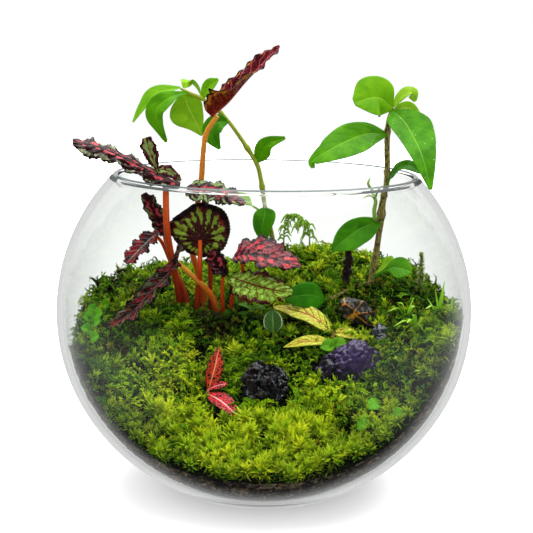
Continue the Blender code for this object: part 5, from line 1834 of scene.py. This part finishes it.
@dataclass
class Begonia:
    """A rex begonia: a creeping stem, petioles that change from red to gold, and jagged leaves."""

    rhizome: Sequence[Place] = ((-54, 24, 96.5), (-40, 20, 96.5), (-26, 19, 96.5), (-14, 22, 96.5))
    rhizome_radii: Sequence[float] = (3.6, 4.4, 4.2, 3.4)
    shoots: Sequence[Sequence[Place]] = (
        ((-46, 21, 97), (-49, 21, 108), (-52, 20, 119)),
        ((-31, 19, 97), (-32, 18, 106), (-33, 17, 114)),
    )
    shoot_radii: Sequence[float] = (1.5, 1.2, 0.7)
    red: Stalk = Stalk("red_petiole", "#380a04", "#b43408", "#cc500c", gloss=0.3)
    gold: Stalk = Stalk("gold_petiole", "#8a2408", "#cc640e", "#e0982c", flecks=0.4)
    earthy: Stalk = Stalk("begonia_rhizome", "#1c1006", "#26160a", "#26160a", "#3c3018", 0.5, 0.6, 0.0)
    lobe: BegoniaBlade = BegoniaBlade(
        "begonia_lobe", "#4a1218", (Blotch("#7c9c50", 0.4, 4, 0.25, 0.8),), "#8a3038", 0.12, rim="#3c0c10"
    )
    golden: Sequence[int] = (1, 7)
    saw: float = 17

    def build_stems(self) -> None:
        """The creeping stem, the petioles and the young shoots."""
        knobs = [(0.2 + 0.13 * k, 0.5, 0.03) for k in range(6)]
        creeping = [tube(self.rhizome, self.rhizome_radii, 18, 60, knobs)]
        red = [tube(route, self.shoot_radii, 12, 20) for route in self.shoots]
        gold = []
        for number, route in PETIOLE_ROUTES.items():
            radii = PETIOLE_RADII.get(number, SLIM_PETIOLE)
            end = BEGONIA_BLADES[number].seat(radii[-1])
            stem = tube([*route, end], radii, 14, 60)
            (gold if number in self.golden else red).append(stem)
        kinds = (("red", red, self.red), ("gold", gold, self.gold), ("creeping", creeping, self.earthy))
        for name, shapes, finish in kinds:
            shape = Shape.join(shapes)
            piece(f"begonia_{name}_stems", shape, [finish], "begonia_petiole", ["begonia_stems"])

    def build_leaves(self) -> None:
        """The leaves, each with its own band of colours above and its red underside."""
        for number, blade in BEGONIA_BLADES.items():
            pucker, frill, saw = blade.pucker or 0.8, blade.frill or 0.4, blade.saw or self.saw
            blade = replace(blade, pucker=pucker, frill=frill, saw=saw, rows=145, cells=20)
            finishes = [BEGONIA_FACES[number], BEGONIA_BACKS.get(number, RED_BACK)]
            node = f"begonia_leaf_{number}"
            piece(f"begonia_blade_{number}", blade.shape(), finishes, "begonia_leaf", [node])
        shapes = [replace(lobe, pucker=0.5, frill=0.5, saw=11).shape() for lobe in (LOBE_UP, LOBE_RIGHT)]
        finishes = [self.lobe, RED_BACK]
        piece("begonia_lobes_2", Shape.join(shapes), finishes, "begonia_leaf", ["begonia_leaf_2"])

    def build(self) -> None:
        """Stems, then leaves."""
        self.build_stems()
        self.build_leaves()


# Vines


class Green(Enum):
    """The finishes of the vine leaves, from the youngest to the oldest."""

    LIME = VineBlade("lime_leaf", "#98cc14", "#7cb40c", "#b8d848", 0.15)
    FRESH = VineBlade("fresh_leaf", "#78b40a", "#60a008", "#98c830", 0.2)
    PALE = VineBlade("pale_leaf", "#a0cc30", "#84b41c", "#c8dc68", 0.2, glow=0.5)
    MIDDLE = VineBlade("grown_leaf", "#5ea404", "#468a02", "#84bc30", 0.18)
    FLECKED = VineBlade("flecked_leaf", "#529c04", "#3a7e02", "#88bc3c", 0.18, "#dce8c0")
    DEEP = VineBlade("deep_leaf", "#4a9606", "#347804", "#78b030", 0.2)
    ROUND = VineBlade("round_leaf", "#5ea41c", "#488c10", "#8cc04c", 0.25)
    RIBBED = VineBlade("ribbed_leaf", "#3a8a06", "#287004", "#5c9c24", 0.4, gloss=0.3)


OVATE = (1, 5, 6.5, 5, 1)

LEFT_LEAVES = {
    1: (Green.FRESH, Blade(
        [(-54, 40, 238.5), (-69, 38, 235), (-76, 36, 227), (-83, 34, 217)], (-0.6, -0.5, 0.62),
        (1, 5, 7, 6, 4, 1),
    )),
    2: (Green.MIDDLE, Blade(
        [
            (-49.8, 39.7, 235.5), (-59.5, 30, 233), (-67.5, 26, 225.5), (-66.5, 25, 216.5),
            (-61.5, 25, 205.5),
        ], (-0.4, -0.85, 0.2), (1, 3, 6, 7, 5, 3, 1), (1, 3, 6, 7, 6, 3, 1),
    )),
    3: (Green.PALE, Blade(
        [(-52, 41.2, 236.3), (-49.8, 46, 227), (-45.3, 47, 218), (-40.5, 46, 208.5)], (0.15, -0.96, 0.3),
        (1, 8, 9, 7, 4, 1), (1, 10, 14, 12, 6, 1), fold=(6, 8),
    )),
    4: (Green.FRESH, Blade(
        [(-40, 42, 231.8), (-36.5, 41.5, 239), (-30.5, 41, 244)], (-0.5, -0.8, 0.3), (1, 4, 4.5, 1),
    )),
    5: (Green.DEEP, Blade(
        [(-24, 43.5, 218), (-31, 38, 217), (-34, 36, 210), (-29, 34, 201)], (-0.2, -0.95, 0.2), OVATE,
    )),
    6: (Green.MIDDLE, Blade(
        [(-5.5, 48.5, 192), (-2.5, 46, 198), (1.5, 44, 204), (12, 43, 208)], (-0.1, -0.9, 0.42),
        (1, 5, 6, 4, 1),
    )),
    7: (Green.DEEP, Blade(
        [(0, 51.5, 163), (-0.5, 47.5, 158), (-1.5, 45, 150), (0.5, 44, 140)], (-0.1, -0.95, 0.3),
        (1, 7, 7.5, 5, 1), (1, 6, 7, 5, 1),
    )),
    8: (Green.PALE, Blade(
        [(-9, 53, 164), (-13, 54, 167), (-19, 55, 171)], (0.1, -0.8, 0.55), (0.8, 3, 3.5, 1),
    )),
    9: (Green.LIME, Blade(
        [(-52, 41.6, 238.3), (-49.5, 44.5, 242), (-45, 45.5, 239), (-41.5, 46, 233.5)], (0.4, 0.2, 0.9),
        (1, 4.5, 6, 4, 1),
    )),
}

RIGHT_LEAVES = {
    1: (Green.FRESH, Blade(
        [(76, 13.5, 229), (66, 9, 235), (52, 4, 232)], (-0.1, -0.85, 0.5), (2, 10, 13, 11.5, 2),
        (2, 11, 14.5, 12.5, 3), fold=(10, 10), droop=0.1,
    )),
    2: (Green.PALE, Blade(
        [(76.3, 14.2, 229.4), (82, 15, 236), (87, 16, 238.5), (90, 17, 233)], (-0.3, -0.5, 0.8),
        (1, 4, 5, 4, 1),
    )),
    3: (Green.FLECKED, Blade(
        [(75.8, 13.8, 227.6), (81.8, 2, 221.5), (86.3, -10, 213), (90.2, -24, 202.5), (94, -36, 185.5)],
        (0.1, -0.9, 0.42), (1, 9, 14, 13, 10, 6, 1), (1, 9, 10.5, 9, 8, 5, 1), fold=(12, 6),
    )),
    4: (Green.MIDDLE, Blade(
        [
            (74, 16.5, 213), (61, 8, 213.5), (48.5, -2, 210), (36.2, -12, 204.5), (27, -17, 199),
            (27.5, -18, 195),
        ], (-0.1, -0.8, 0.6), (1, 8, 12.5, 12, 7, 3, 1), (1, 8, 11, 9, 5, 2, 1), fold=(10, 6),
    )),
    5: (Green.DEEP, Blade(
        [(75.5, 25, 180), (78, 14, 190), (85, 3, 195.5), (92, -9, 192)], (-0.1, -0.72, 0.65),
        (1, 2, 4, 4, 3, 1), (1, 2, 8, 9, 5, 1),
    )),
    6: (Green.DEEP, Blade(
        [(74, 35, 158), (61, 30, 153), (51, 25, 147), (42, 21, 140)], (-0.1, -0.9, 0.42),
        (1, 9, 10.5, 9, 1), (1, 6.5, 8.5, 6.5, 1),
    )),
    7: (Green.ROUND, Blade(
        [(70, 40.5, 119.5), (80, 35, 126.5), (87, 33, 127), (94, 31, 125.5)], (0.1, -0.8, 0.6),
        (1, 1.5, 7, 7.5, 2), droop=0.1,
    )),
    8: (Green.PALE, Blade(
        [(71.5, 42, 121), (79, 44, 127), (83, 45, 133)], (-0.4, -0.8, 0.4), (1, 2, 4, 1),
    )),
    9: (Green.RIBBED, Blade(
        [(38.5, 19, 109), (27, 13, 113), (13, 10, 111)], (0.05, -0.85, 0.52), (1, 8, 8.5, 7, 2),
        fold=(2, 2), droop=0.05, veining=Veining.PARALLEL, veins=5,
    )),
    10: (Green.PALE, Blade(
        [(75.3, 15.2, 225.6), (85, 20, 229.5), (93.5, 21, 225)], (-0.1, -0.85, 0.5), (1, 3, 3.5, 1),
    )),
}


@dataclass(frozen=True)
class Stem:
    """A stem or a side shoot: its route, its radii and the nodes where leaves sit."""

    route: Sequence[Place]
    radii: Sequence[float]
    swell: Sequence[Sequence[float]] = ()
    steps: int = 60

    def shape(self) -> Shape:
        """The stem."""
        return tube(self.route, self.radii, 14, self.steps, self.swell)


@dataclass
class Vine:
    """A climbing vine: its stems and its waxy leaves."""

    side: str
    place: Place
    main: Stem
    bark: Stalk | Bark
    slot: str
    leaves: dict[int, tuple[Green, Blade]]
    slope: Slope
    runners: Sequence[Stem] = ()
    shoots: Sequence[Stem] = ()
    young: Stalk = Stalk("young_shoot", "#7c9c34", "#98bc4c", "#b4d468", glow=0.4)
    root: float = 6.0

    def build(self) -> None:
        """Stems first, then each leaf."""
        route = [*self.slope.root(*self.place, self.root), *self.main.route]
        radii = (self.main.radii[0], *self.main.radii)
        shapes = [replace(self.main, route=route, radii=radii).shape()]
        shapes += [runner.shape() for runner in self.runners]
        young = [shoot.shape() for shoot in self.shoots]
        node = f"vine_{self.side}_stem"
        piece(f"{self.side}_vine_shoots", Shape.join(young), [self.young], self.slot, [node])
        piece(f"{self.side}_vine_stems", Shape.join(shapes), [self.bark], self.slot, [node])
        for number, (green, blade) in self.leaves.items():
            shape = replace(blade, pucker=blade.pucker or 0.18, rows=73, cells=14).shape()
            node = f"vine_{self.side}_leaf_{number}"
            piece(f"{self.side}_vine_blade_{number}", shape, [green.value] * 2, "vine_leaf", [node])


def left_vine(slope: Slope) -> Vine:
    """The vine that leans out over the rim to the left.

    Args:
        slope: the ground.

    Returns:
        The vine.
    """
    main = Stem(
        [
            (5, 55, 141), (0, 52, 162), (-3, 50, 180), (-6, 49, 191), (-13.5, 47, 203), (-23, 44, 216.5),
            (-32, 43, 226), (-41, 42, 232), (-48, 41, 235), (-54, 40, 238),
        ], (1.7, 1.7, 1.5, 1.4, 1.5, 1.2, 1.2, 1.2, 1.0, 0.8),
        ((0.34, 0.6, 0.012), (0.53, 0.7, 0.014), (0.7, 0.5, 0.012), (0.83, 0.4, 0.012)), 110,
    )
    twig = Stem([(-1, 52, 159), (-6, 53, 162), (-9, 53, 164)], (0.8, 0.7, 0.6), steps=14)
    bark = Stalk("green_vine_stem", "#5a5a1c", "#8a9a20", "#98a828", "#b09858", 0.5)
    return Vine("left", (7, 57), main, bark, "vine_stem", LEFT_LEAVES, slope, shoots=[twig])


def right_vine(slope: Slope) -> Vine:
    """The woody vine at the right, with a runner along the moss.

    Args:
        slope: the ground.

    Returns:
        The vine.
    """
    main = Stem(
        [
            (71, 41, 129), (72.5, 38, 144), (73.5, 36, 156), (74, 32, 168), (75, 27, 179), (75, 23, 192),
            (74, 19, 206), (74, 16, 220), (76, 14, 229),
        ], (2.1, 2.1, 1.9, 2.4, 1.9, 1.7, 1.8, 1.5, 1.1),
        ((0.45, 0.7, 0.02), (0.56, 0.5, 0.012), (0.68, 0.5, 0.01), (0.86, 0.7, 0.012)), 120,
    )
    runner = Stem([(69, 42, 116), (56, 36, 113), (46, 28, 109.5), (39, 20, 108.5)], (1.3, 1.2, 1.1, 0.8))
    shoots = [
        Stem(
            [(73.5, 33, 164), (70, 33, 158), (69, 32.5, 164), (69.5, 31, 171), (66, 30, 178)],
            (0.8, 1.3, 0.9),
        ),
        Stem([(69.5, 31, 172), (65, 30, 174), (60, 29, 171.5)], (0.6, 0.7, 0.2), steps=20),
        Stem([(69.5, 31, 173), (71, 30, 178), (73, 29, 180)], (0.6, 0.6, 0.2), steps=20),
        Stem([(67, 30, 177), (64, 29, 181), (65, 28, 185)], (0.6, 0.8, 0.2), steps=20),
    ]
    bark = Bark("olive_bark", "#9c8e48", "#3c3018")
    return Vine("right", (69, 42), main, bark, "vine_bark", RIGHT_LEAVES, slope, [runner], shoots)


# Small plants


@dataclass
class NerveLeaves:
    """The two nerve plants: a yellow one with red veins and a red one with pale veins."""

    slope: Slope
    yellow: NetBlade = NetBlade(
        "yellow_nerve_leaf", "#a82c14", "#ccdc28", "#a82810", 2.2, 0.05, 0.0, 0.75, "#7c9c20"
    )
    red: NetBlade = NetBlade("red_nerve_leaf", "#e82838", "#101a0c", "#f8b8b0", 2.0, 0.12, 0.07)
    orange: NetBlade = NetBlade("orange_nerve_leaf", "#dc3c14", "#141c08", "#f09870", 1.9, 0.12, 0.07)
    stalk: Stalk = Stalk("nerve_stalk", "#5a3020", "#8a5030", "#a06848")

    def build_yellow(self) -> None:
        """Three yellow leaves on one crown."""
        crown = (43, -5, 93.5)
        long_leaf = Blade(
            [(43, -5, 93), (31, 2, 101), (19, 8, 104), (6, 13, 105)], (0.05, -0.5, 0.86),
            (1, 6, 7, 7, 4, 1), (1, 5, 7, 7, 4, 1), fold=(10, 5), pucker=0.3,
        )
        blades = [
            long_leaf,
            small_blade(crown, (59, -7, 91), 4.5, (0.0, -0.6, 0.8), pucker=0.3),
            small_blade((42, -8, 88.5), (12, -13, 86), 4.6, (0.0, -0.5, 0.85), pucker=0.3),
        ]
        shape = Shape.join([blade.shape() for blade in blades])
        piece("yellow_nerve_blades", shape, [self.yellow] * 2, "yellow_net_leaf", ["net_plant_yellow"])
        stem = tube([*self.slope.root(43, -10, 5), (42, -8, 89), crown], (1.0, 1.0, 0.9, 0.9))
        piece("yellow_nerve_stalk", stem, [self.stalk], "yellow_net_leaf")

    def build_red(self) -> None:
        """Three red leaves on one crown."""
        crown = (-31.5, -42, 68)
        upper = small_blade(crown, (-26, -33, 91), 5.4, (0.3, -0.9, 0.3), pucker=0.4, saw=9)
        lower = [
            small_blade((-32, -43, 65.5), (-13.5, -61, 57), 6.4, (0.25, -0.6, 0.75), pucker=0.5, saw=9),
            small_blade(crown, (-20.5, -41, 71), 2.8, (0.1, -0.7, 0.7), pucker=0.3),
        ]
        piece("upper_nerve_blade", upper.shape(), [self.orange] * 2, "red_net_leaf", ["net_plant_red"])
        shape = Shape.join([blade.shape() for blade in lower])
        piece("lower_nerve_blades", shape, [self.red] * 2, "red_net_leaf", ["net_plant_red"])
        stem = tube([*self.slope.root(-32, -44, 5), crown], (1.0, 1.0, 0.9))
        piece("red_nerve_stalk", stem, [self.stalk], "red_net_leaf")

    def build(self) -> None:
        """Both plants."""
        self.build_yellow()
        self.build_red()


@dataclass
class SmallPlants:
    """Single leaves and sprigs that stand in the moss."""

    slope: Slope
    pale_edge: NetBlade = NetBlade(
        "pale_edged_blade", "#6c9c40", "#40742a", "#8cb860", 1.4, 0.1, 0.1, 0.6, "#e8f4d8", 0.5
    )
    fresh: VineBlade = VineBlade("sprig_leaf", "#5a9a20", "#44801a", "#98cc50", 0.25)
    lobed: VineBlade = VineBlade("lobed_blade", "#80cc2c", "#5cac1c", "#b8e878", 0.35)
    creeper: VineBlade = VineBlade("creeper_blade", "#70c40c", "#50a406", "#a8dc50", 0.3)
    round: VineBlade = VineBlade("round_blade", "#84c42c", "#60a81c", "#b0e070", 0.2)
    stalk: Stalk = Stalk("sprig_stalk", "#6a5a20", "#7a8a28", "#7a9a28")

    def stem(
        self, x: float, y: float, *route: Place, radii: Sequence[float] = (1.0, 0.9, 0.7)
    ) -> Shape:
        """A stalk from its root in the moss."""
        return tube([*self.slope.root(x, y, 5), *route], radii, 8, 24)

    def dress(self, name: str, blades: Sequence[Blade], finish: Finish, slot: str, node: str) -> None:
        """Makes a sprig's blades."""
        piece(name, Shape.join([blade.shape() for blade in blades]), [finish] * 2, slot, [node])

    def build_pale_edged(self) -> None:
        """The cupped leaf with a pale rim."""
        above = self.slope.above
        cup = small_blade(above(6, -1, 2), (5, 2, 106), 6.4, (0, -0.9, 0.35), fold=(35, 20), rows=41)
        self.dress("pale_edged_cup", [cup], self.pale_edge, "pale_edged_leaf", "pale_edged_leaf")

    def build_sprigs(self) -> None:
        """The leafy shoot and the round-leaved sprig."""
        above = self.slope.above
        blades = []
        for k, turn in enumerate((200, 250, 300, 345, 20, 160)):
            angle = math.radians(turn)
            low = np.array(above(-8, 12, 2 + k))
            tip = low + [9 * math.cos(angle), 6 * math.sin(angle), 2.5]
            blades.append(small_blade(low, tip, 2.5, (0, -0.3, 1)))
        self.dress("leafy_shoot_blades", blades, self.fresh, "small_leaf", "leafy_shoot")
        crown = (43, -14, 88.5)
        tips = ((34, -15, 86.5), (41, -15, 92), (50, -16, 89))
        blades = [small_blade(crown, tip, 4.0, (0, -0.85, 0.5)) for tip in tips]
        self.dress("round_sprig_blades", blades, self.round, "small_leaf", "round_leaf_sprig")
        stems = [
            self.stem(6, -1, above(6, -1, 3)),
            self.stem(-8, 12, above(-8, 12, 8)),
            self.stem(47, -14, crown),
        ]
        piece("sprig_stalks", Shape.join(stems), [self.stalk], "small_leaf")

    def build_creeper(self) -> None:
        """The creeping sprig by the glass at the left."""
        above = self.slope.above
        x, y = -106, 2
        route = [above(x + 3, y + 16, 4), above(x, y + 8, 4), above(x, y, 3.5), above(x + 1, y - 13, 4)]
        blades = []
        for k, base in enumerate(curve(route, 7)):
            side = -1 if k % 2 else 1
            tip = base + [side * 6.0, -3.5, 3.0]
            blades.append(small_blade(base, tip, 4.0, (0.1 * side, -0.8, 0.6)))
        self.dress("creeper_blades", blades, self.creeper, "small_leaf", "creeper_sprig")
        stems = [tube(route, (0.7, 1.0, 0.7), 8, 40), self.stem(x, y, above(x, y, 4))]
        piece("creeper_stems", Shape.join(stems), [self.stalk], "small_leaf", ["creeper_sprig"])

    def build_lobed(self) -> None:
        """The three lobed leaves at the right front."""
        above = self.slope.above
        places = {1: (66, -59, -7, -4), 2: (60, -67, -7, -4), 3: (72, -71, 6, -3)}
        stems = []
        for number, (x, y, dx, dy) in places.items():
            tip = above(x + dx, y + dy, 4)
            blade = small_blade(above(x, y, 3), tip, 4.0, (0.0, -0.75, 0.65), wave=0.4, saw=7, rows=57)
            self.dress(f"lobed_blade_{number}", [blade], self.lobed, "small_leaf", f"lobed_leaf_{number}")
            stems.append(self.stem(x, y, above(x, y, 3.5), radii=(0.7, 0.6, 0.5)))
        piece("lobed_stalks", Shape.join(stems), [self.stalk], "small_leaf")

    def build(self) -> None:
        """Every small plant."""
        self.build_pale_edged()
        self.build_sprigs()
        self.build_creeper()
        self.build_lobed()


@dataclass
class Fronds:
    """Fern sprigs, the spike of moss, and the tufts of grass."""

    slope: Slope
    seed: int = 4
    fern: Stalk = Stalk("fern_frond", "#4c7a1c", "#84b028", "#b0d850", gloss=0.5, glow=0.4)
    spike: Stalk = Stalk("moss_spike", "#5c6c24", "#8ca040", "#b4c85c", gloss=0.5, glow=0.4)
    grass: Stalk = Stalk("grass_blade", "#6c9c14", "#98d020", "#b8e840", "#4c7a14", 0.15, 0.35, 0.4)

    def curls(self, path: Points, first: int, reach: float, count: int) -> Shape:
        """Soft arms that arch out of a stalk and hang down at their ends.

        Args:
            path: points along the stalk.
            first: the number of the lowest one with an arm.
            reach: how long the arms are.
            count: how many there are.

        Returns:
            The arms.
        """
        draw = np.random.default_rng(int(abs(path[0, 0])) + self.seed)
        arms = []
        for k in np.linspace(first, len(path) - 1, count).astype(int):
            turn = draw.uniform(0, 2 * np.pi)
            out = np.array([math.cos(turn), 0.5 * math.sin(turn), 0]) * reach * draw.uniform(0.5, 1.0)
            knee = path[k] + 0.5 * out + [0, 0, 0.3 * reach * draw.uniform(0.2, 1.0)]
            end = path[k] + out - [0, 0, reach * draw.uniform(0.1, 0.7)]
            arms.append(tube([path[k], knee, end], (0.3, 0.7, 0.3), 6, 12))
        return Shape.join(arms)

    def build_fern(self, number: int, place: Place, route: Sequence[Place]) -> None:
        """One fern sprig.

        Args:
            number: which sprig.
            place: where it stands.
            route: places along its stalk.
        """
        points = [*self.slope.root(*place, 6), *route]
        stem = tube(points, (0.7, 0.6, 0.5, 0.35), 8, 60)
        shape = Shape.join([stem, self.curls(curve(points, 200), 90, 6.5, 34)])
        piece(f"fern_{number}_frond", shape, [self.fern], "fern", [f"fern_sprig_{number}"])

    def build_spike(self) -> None:
        """The spike of moss with short leaves all round it."""
        above = self.slope.above
        x, y = 101, 36
        path = curve([above(x, y, -4), above(x, y, 14), above(x, y, 28)], 90)
        draw = np.random.default_rng(self.seed)
        count = 260
        k = draw.integers(12, 88, count)
        turn = draw.uniform(0, 2 * np.pi, count)
        out = np.stack([np.cos(turn), np.sin(turn), draw.uniform(0.5, 1.2, count)], 1)
        length = 6.5 - 4.0 * k / 90
        base, tip = path[k], path[k] + unit(out) * length[:, None]
        points, faces = leaflets(base, tip, np.full(count, 1.1), np.tile([0.0, 0, 1], (count, 1)))
        leaves = Shape(points, faces, {"along": np.tile([0.1, 0.5, 0.5, 1.0], count)})
        stem = tube([path[0], path[45], path[-1]], (0.6, 0.5, 0.3), 8, 30)
        piece("moss_spike", Shape.join([stem, leaves]), [self.spike], "fern", ["spike_sprig"])

    def blade(self, start: Place, tip: Place, bow: float, width: float) -> Shape:
        """A narrow blade of grass that bends over to its tip.

        Args:
            start: where it starts.
            tip: where it ends.
            bow: how high it arches.
            width: its half width.

        Returns:
            The blade.
        """
        low, high = np.array(start, float), np.array(tip, float)
        top = low * 0.6 + high * 0.4 + [0, 0, bow]
        out = np.cross(high - low, (0, 0, 1.0))
        face = np.cross(out, high - low)
        blade = Blade([low, top, high], face, (width, width * 1.15, width, 0.2), (width,) * 3 + (0.2,))
        shape = replace(blade, rows=25, cells=2, fold=(25, 10), thickness=0.25).shape()
        return Shape(shape.points, shape.faces, {"along": shape.marks["along"]})

    def build_tufts(self) -> None:
        """Tufts of narrow blades of grass at the right."""
        tufts = {
            1: (105, -14, [(-3, -1, 21), (9, -3, 16), (10, -6, 8), (-9, -4, 10), (3, 2, 26), (-7, 3, 15)]),
            2: (88, 4, [(-12, -2, 8), (4, 1, 16), (9, 6, 9), (-6, 1, 13)]),
            3: (91, -13, [(-13, -3, 6), (-6, -7, 9), (-2, -3, 13), (4, -9, 4)]),
        }
        above = self.slope.above
        for number, (x, y, ends) in tufts.items():
            shapes = []
            for dx, dy, dz in ends:
                level = float(self.slope.height(x, y)) + dz
                tip = (x + dx, y + dy, max(level, above(x + dx, y + dy, 3)[2]))
                shapes.append(self.blade(above(x, y, -2), tip, 7 if dz < 15 else 2, 1.35))
            node = f"grass_tuft_{number}"
            piece(f"grass_blades_{number}", Shape.join(shapes), [self.grass], "grass", [node])

    def build(self) -> None:
        """Every frond and tuft."""
        self.build_fern(1, (14, 88), [(13, 86, 140), (17, 85, 152), (24, 84, 151)])
        self.build_fern(2, (30, 79), [(30, 76, 142), (27, 75, 150), (21, 75, 145)])
        self.build_spike()
        self.build_tufts()


@dataclass
class TwigStub:
    """The dark knobbly stub of a twig."""

    slope: Slope
    bark: Bark = Bark("dark_twig_bark", "#2c1618", "#0a0506", 1.6, 0.4)
    lumps: Field = field(default_factory=lambda: Field(9))

    def build(self) -> None:
        """A stem with knobs and rough bark."""
        route = [*self.slope.root(52, 38, 6), (53, 37.5, 124), (54, 36.5, 138)]
        knobs = [(0.3, 0.8, 0.05), (0.5, 1.0, 0.05), (0.68, 0.7, 0.04), (0.85, 0.9, 0.05)]
        shape = tube(route, (2.4, 2.3, 2.2, 2.2, 2.0), 40, 120, knobs)
        middle = curve(route, 120).repeat(40, axis=0)
        skin = shape.points[: len(middle)]
        skin += unit(skin - middle) * 1.2 * self.lumps.rough(skin, 2.5)[:, None]
        piece("twig_bark", shape, [self.bark], "twig_bark", ["twig_stub"])


# Studio


@dataclass(frozen=True)
class Studio:
    """A white sheet and a white wall behind, a dim room in front, and one broad soft lamp above."""

    sheet_front: float = -0.3
    sheet_size: float = 3.0
    lamp_place: Place = (0.12, 0.25, 1.0)
    lamp_aim: Place = (0, 0, 0.12)
    lamp_angle: float = 68.0
    lamp_strength: float = 3.8
    front_fill: float = 0.5
    ceiling: float = 1.6
    front_gloss: float = 0.015
    side_gloss: float = 0.3
    back_light: float = 1.0
    back_gloss: float = 0.78
    side_clear: float = 1.0
    back_clear: float = 1.24
    wall: tuple[float, float] = (0.4, 0.8)
    place: Place = (0, -0.700, 0.2626)
    tilt: float = 0.183
    roll: float = 0.8
    lens: float = 79.16
    shift: float = 0.00375

    def light_room(self) -> None:
        """The world: bright behind and above, white screens at both sides, plain white to the camera."""
        world = bpy.data.worlds.new("white_room")
        bpy.context.scene.world = world
        world.use_nodes = True
        mix = Nodes(world.node_tree)
        way = mix.add("TexCoord", out="Generated")
        axes = mix.add("SeparateXYZ", {}, {0: way}).node.outputs
        rays = mix.add("LightPath").node.outputs
        behind = mix.add("MapRange", {1: -0.2, 2: 0.5}, {0: axes["Y"]})
        above = mix.add("MapRange", {1: 0.1, 2: 0.6, 4: self.ceiling}, {0: axes["Z"]})
        beside = mix.add("Math", {"operation": "ABSOLUTE"}, {0: axes["X"]})
        beside = mix.add("MapRange", {1: 0.55, 2: 0.9, 4: self.side_gloss}, {0: beside})
        below = mix.add("MapRange", {1: 0.05, 2: -0.3}, {0: axes["Z"]})
        beside = mix.add("Math", {"operation": "MULTIPLY"}, {0: beside, 1: below})
        gloss = mix.add("Math", {"operation": "MAXIMUM", 1: self.front_gloss}, {0: beside})
        wall = mix.add("MapRange", {1: self.wall[0], 2: self.wall[1]}, {0: axes["Y"]})
        mirrored = mix.add("Mix", {3: self.back_gloss}, {0: wall, 2: gloss})
        through = mix.add("Mix", {2: self.side_clear, 3: self.back_clear}, {0: wall})
        soft = mix.add("Mix", {2: self.front_fill, 3: self.back_light}, {0: behind})
        soft = mix.add("Math", {"operation": "ADD"}, {0: soft, 1: above})
        level = mix.add("Mix", {}, {0: rays["Is Transmission Ray"], 2: soft, 3: through})
        bounced = mix.add("Math", {"operation": "MINIMUM", 1: 1.0}, {0: rays["Glossy Depth"]})
        level = mix.add("Mix", {}, {0: bounced, 2: level, 3: mirrored})
        level = mix.add("Mix", {3: 1.0}, {0: rays["Is Camera Ray"], 2: level})
        room = mix.tree.nodes["Background"]
        room.inputs["Color"].default_value = (1, 1, 1, 1)
        mix.tree.links.new(level, room.inputs["Strength"])

    def lay_sheet(self) -> None:
        """The white sheet, which the glass doesn't mirror, so the front of the bowl stays clear."""
        mesh = bpy.data.meshes.new("white_sheet")
        half, back = self.sheet_size / 2, self.sheet_front + self.sheet_size
        corners = [(-half, self.sheet_front), (half, self.sheet_front), (half, back), (-half, back)]
        mesh.from_pydata([(x, y, 0) for x, y in corners], [], [(0, 1, 2, 3)])
        mesh.materials.append(StudioFloor().material())
        floor = placed("white_sheet", mesh)
        floor.visible_glossy = floor.visible_transmission = False

    def hang_lamp(self) -> None:
        """One broad lamp above and a little behind."""
        lamp = bpy.data.lights.new("soft_box", "SUN")
        lamp.angle = math.radians(self.lamp_angle)
        lamp.energy = self.lamp_strength
        obj = placed("soft_box", lamp)
        obj.location = self.lamp_place
        aim = Vector(self.lamp_aim) - Vector(self.lamp_place)
        obj.rotation_euler = aim.to_track_quat("-Z", "Y").to_euler()

    def set_camera(self) -> None:
        """The photograph's view: from the front and a little above."""
        camera = bpy.data.cameras.new("camera")
        camera.lens = self.lens
        camera.sensor_width = 36
        camera.shift_x = self.shift
        obj = placed("camera", camera)
        base = Matrix.Rotation(math.pi / 2 - self.tilt, 4, "X")
        roll = Matrix.Rotation(math.radians(self.roll), 4, "Z")
        obj.matrix_world = Matrix.Translation(self.place) @ base @ roll
        bpy.context.scene.camera = obj
        bpy.context.scene.view_settings.view_transform = "Standard"

    def build(self) -> None:
        """Light, sheet, lamp and camera."""
        self.light_room()
        self.lay_sheet()
        self.hang_lamp()
        self.set_camera()


def write_sizes() -> None:
    """Brings the view layer up to date."""
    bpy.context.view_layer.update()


def main() -> None:
    """Builds every sub-assembly in order."""
    logging.basicConfig(level=logging.INFO, format="%(name)s: %(message)s")
    bowl = GlassBowl()
    slope = Slope()
    bed = Bed(bowl, slope)
    bowl.build()
    bed.build_soil()
    bed.build_felt()
    MossCarpet(bowl, slope, bed).build()
    # The second colour of each mineral is its chips, painted pale as highlights
    black = Mineral("black_rock", "#040405", "#64646c", "#1c0a08", 0.58, 2.2, 0.1, 0.35, relief=0.8)
    Stone("black_stone", black, depth=1.5, breaks=64, tilt=0.55, seed=3).build()
    # The amethyst's last colour is its crown, painted light on the side that faces the lamp
    purple = Mineral("amethyst_crystal", "#08060c", "#64448c", "#040306", 0.62, 2.4, 0.14, 0.4, "#2a1644")
    Amethyst("amethyst", purple, seed=5).build()
    rock = Mineral("fibrous_rock", "#16140f", "#5c5850", "#080604", 0.54, 3.0, 0.2, 0.6, fibre="#c88014")
    Stone("veined_rock", rock, depth=1.0, breaks=13, tilt=0.4, seed=6).build()
    pebble = Mineral("dark_pebble", "#1c1e24", "#8a8c94", "#0c0c10", 0.5, 2.4, 0.12, 0.4)
    Stone("small_stone", pebble, depth=0.4, breaks=18, seed=7, detail=5).build()
    Begonia().build()
    left_vine(slope).build()
    right_vine(slope).build()
    NerveLeaves(slope).build()
    SmallPlants(slope).build()
    Fronds(slope).build()
    TwigStub(slope).build()
    Studio().build()
    write_sizes()


if __name__ == "__main__":
    main()
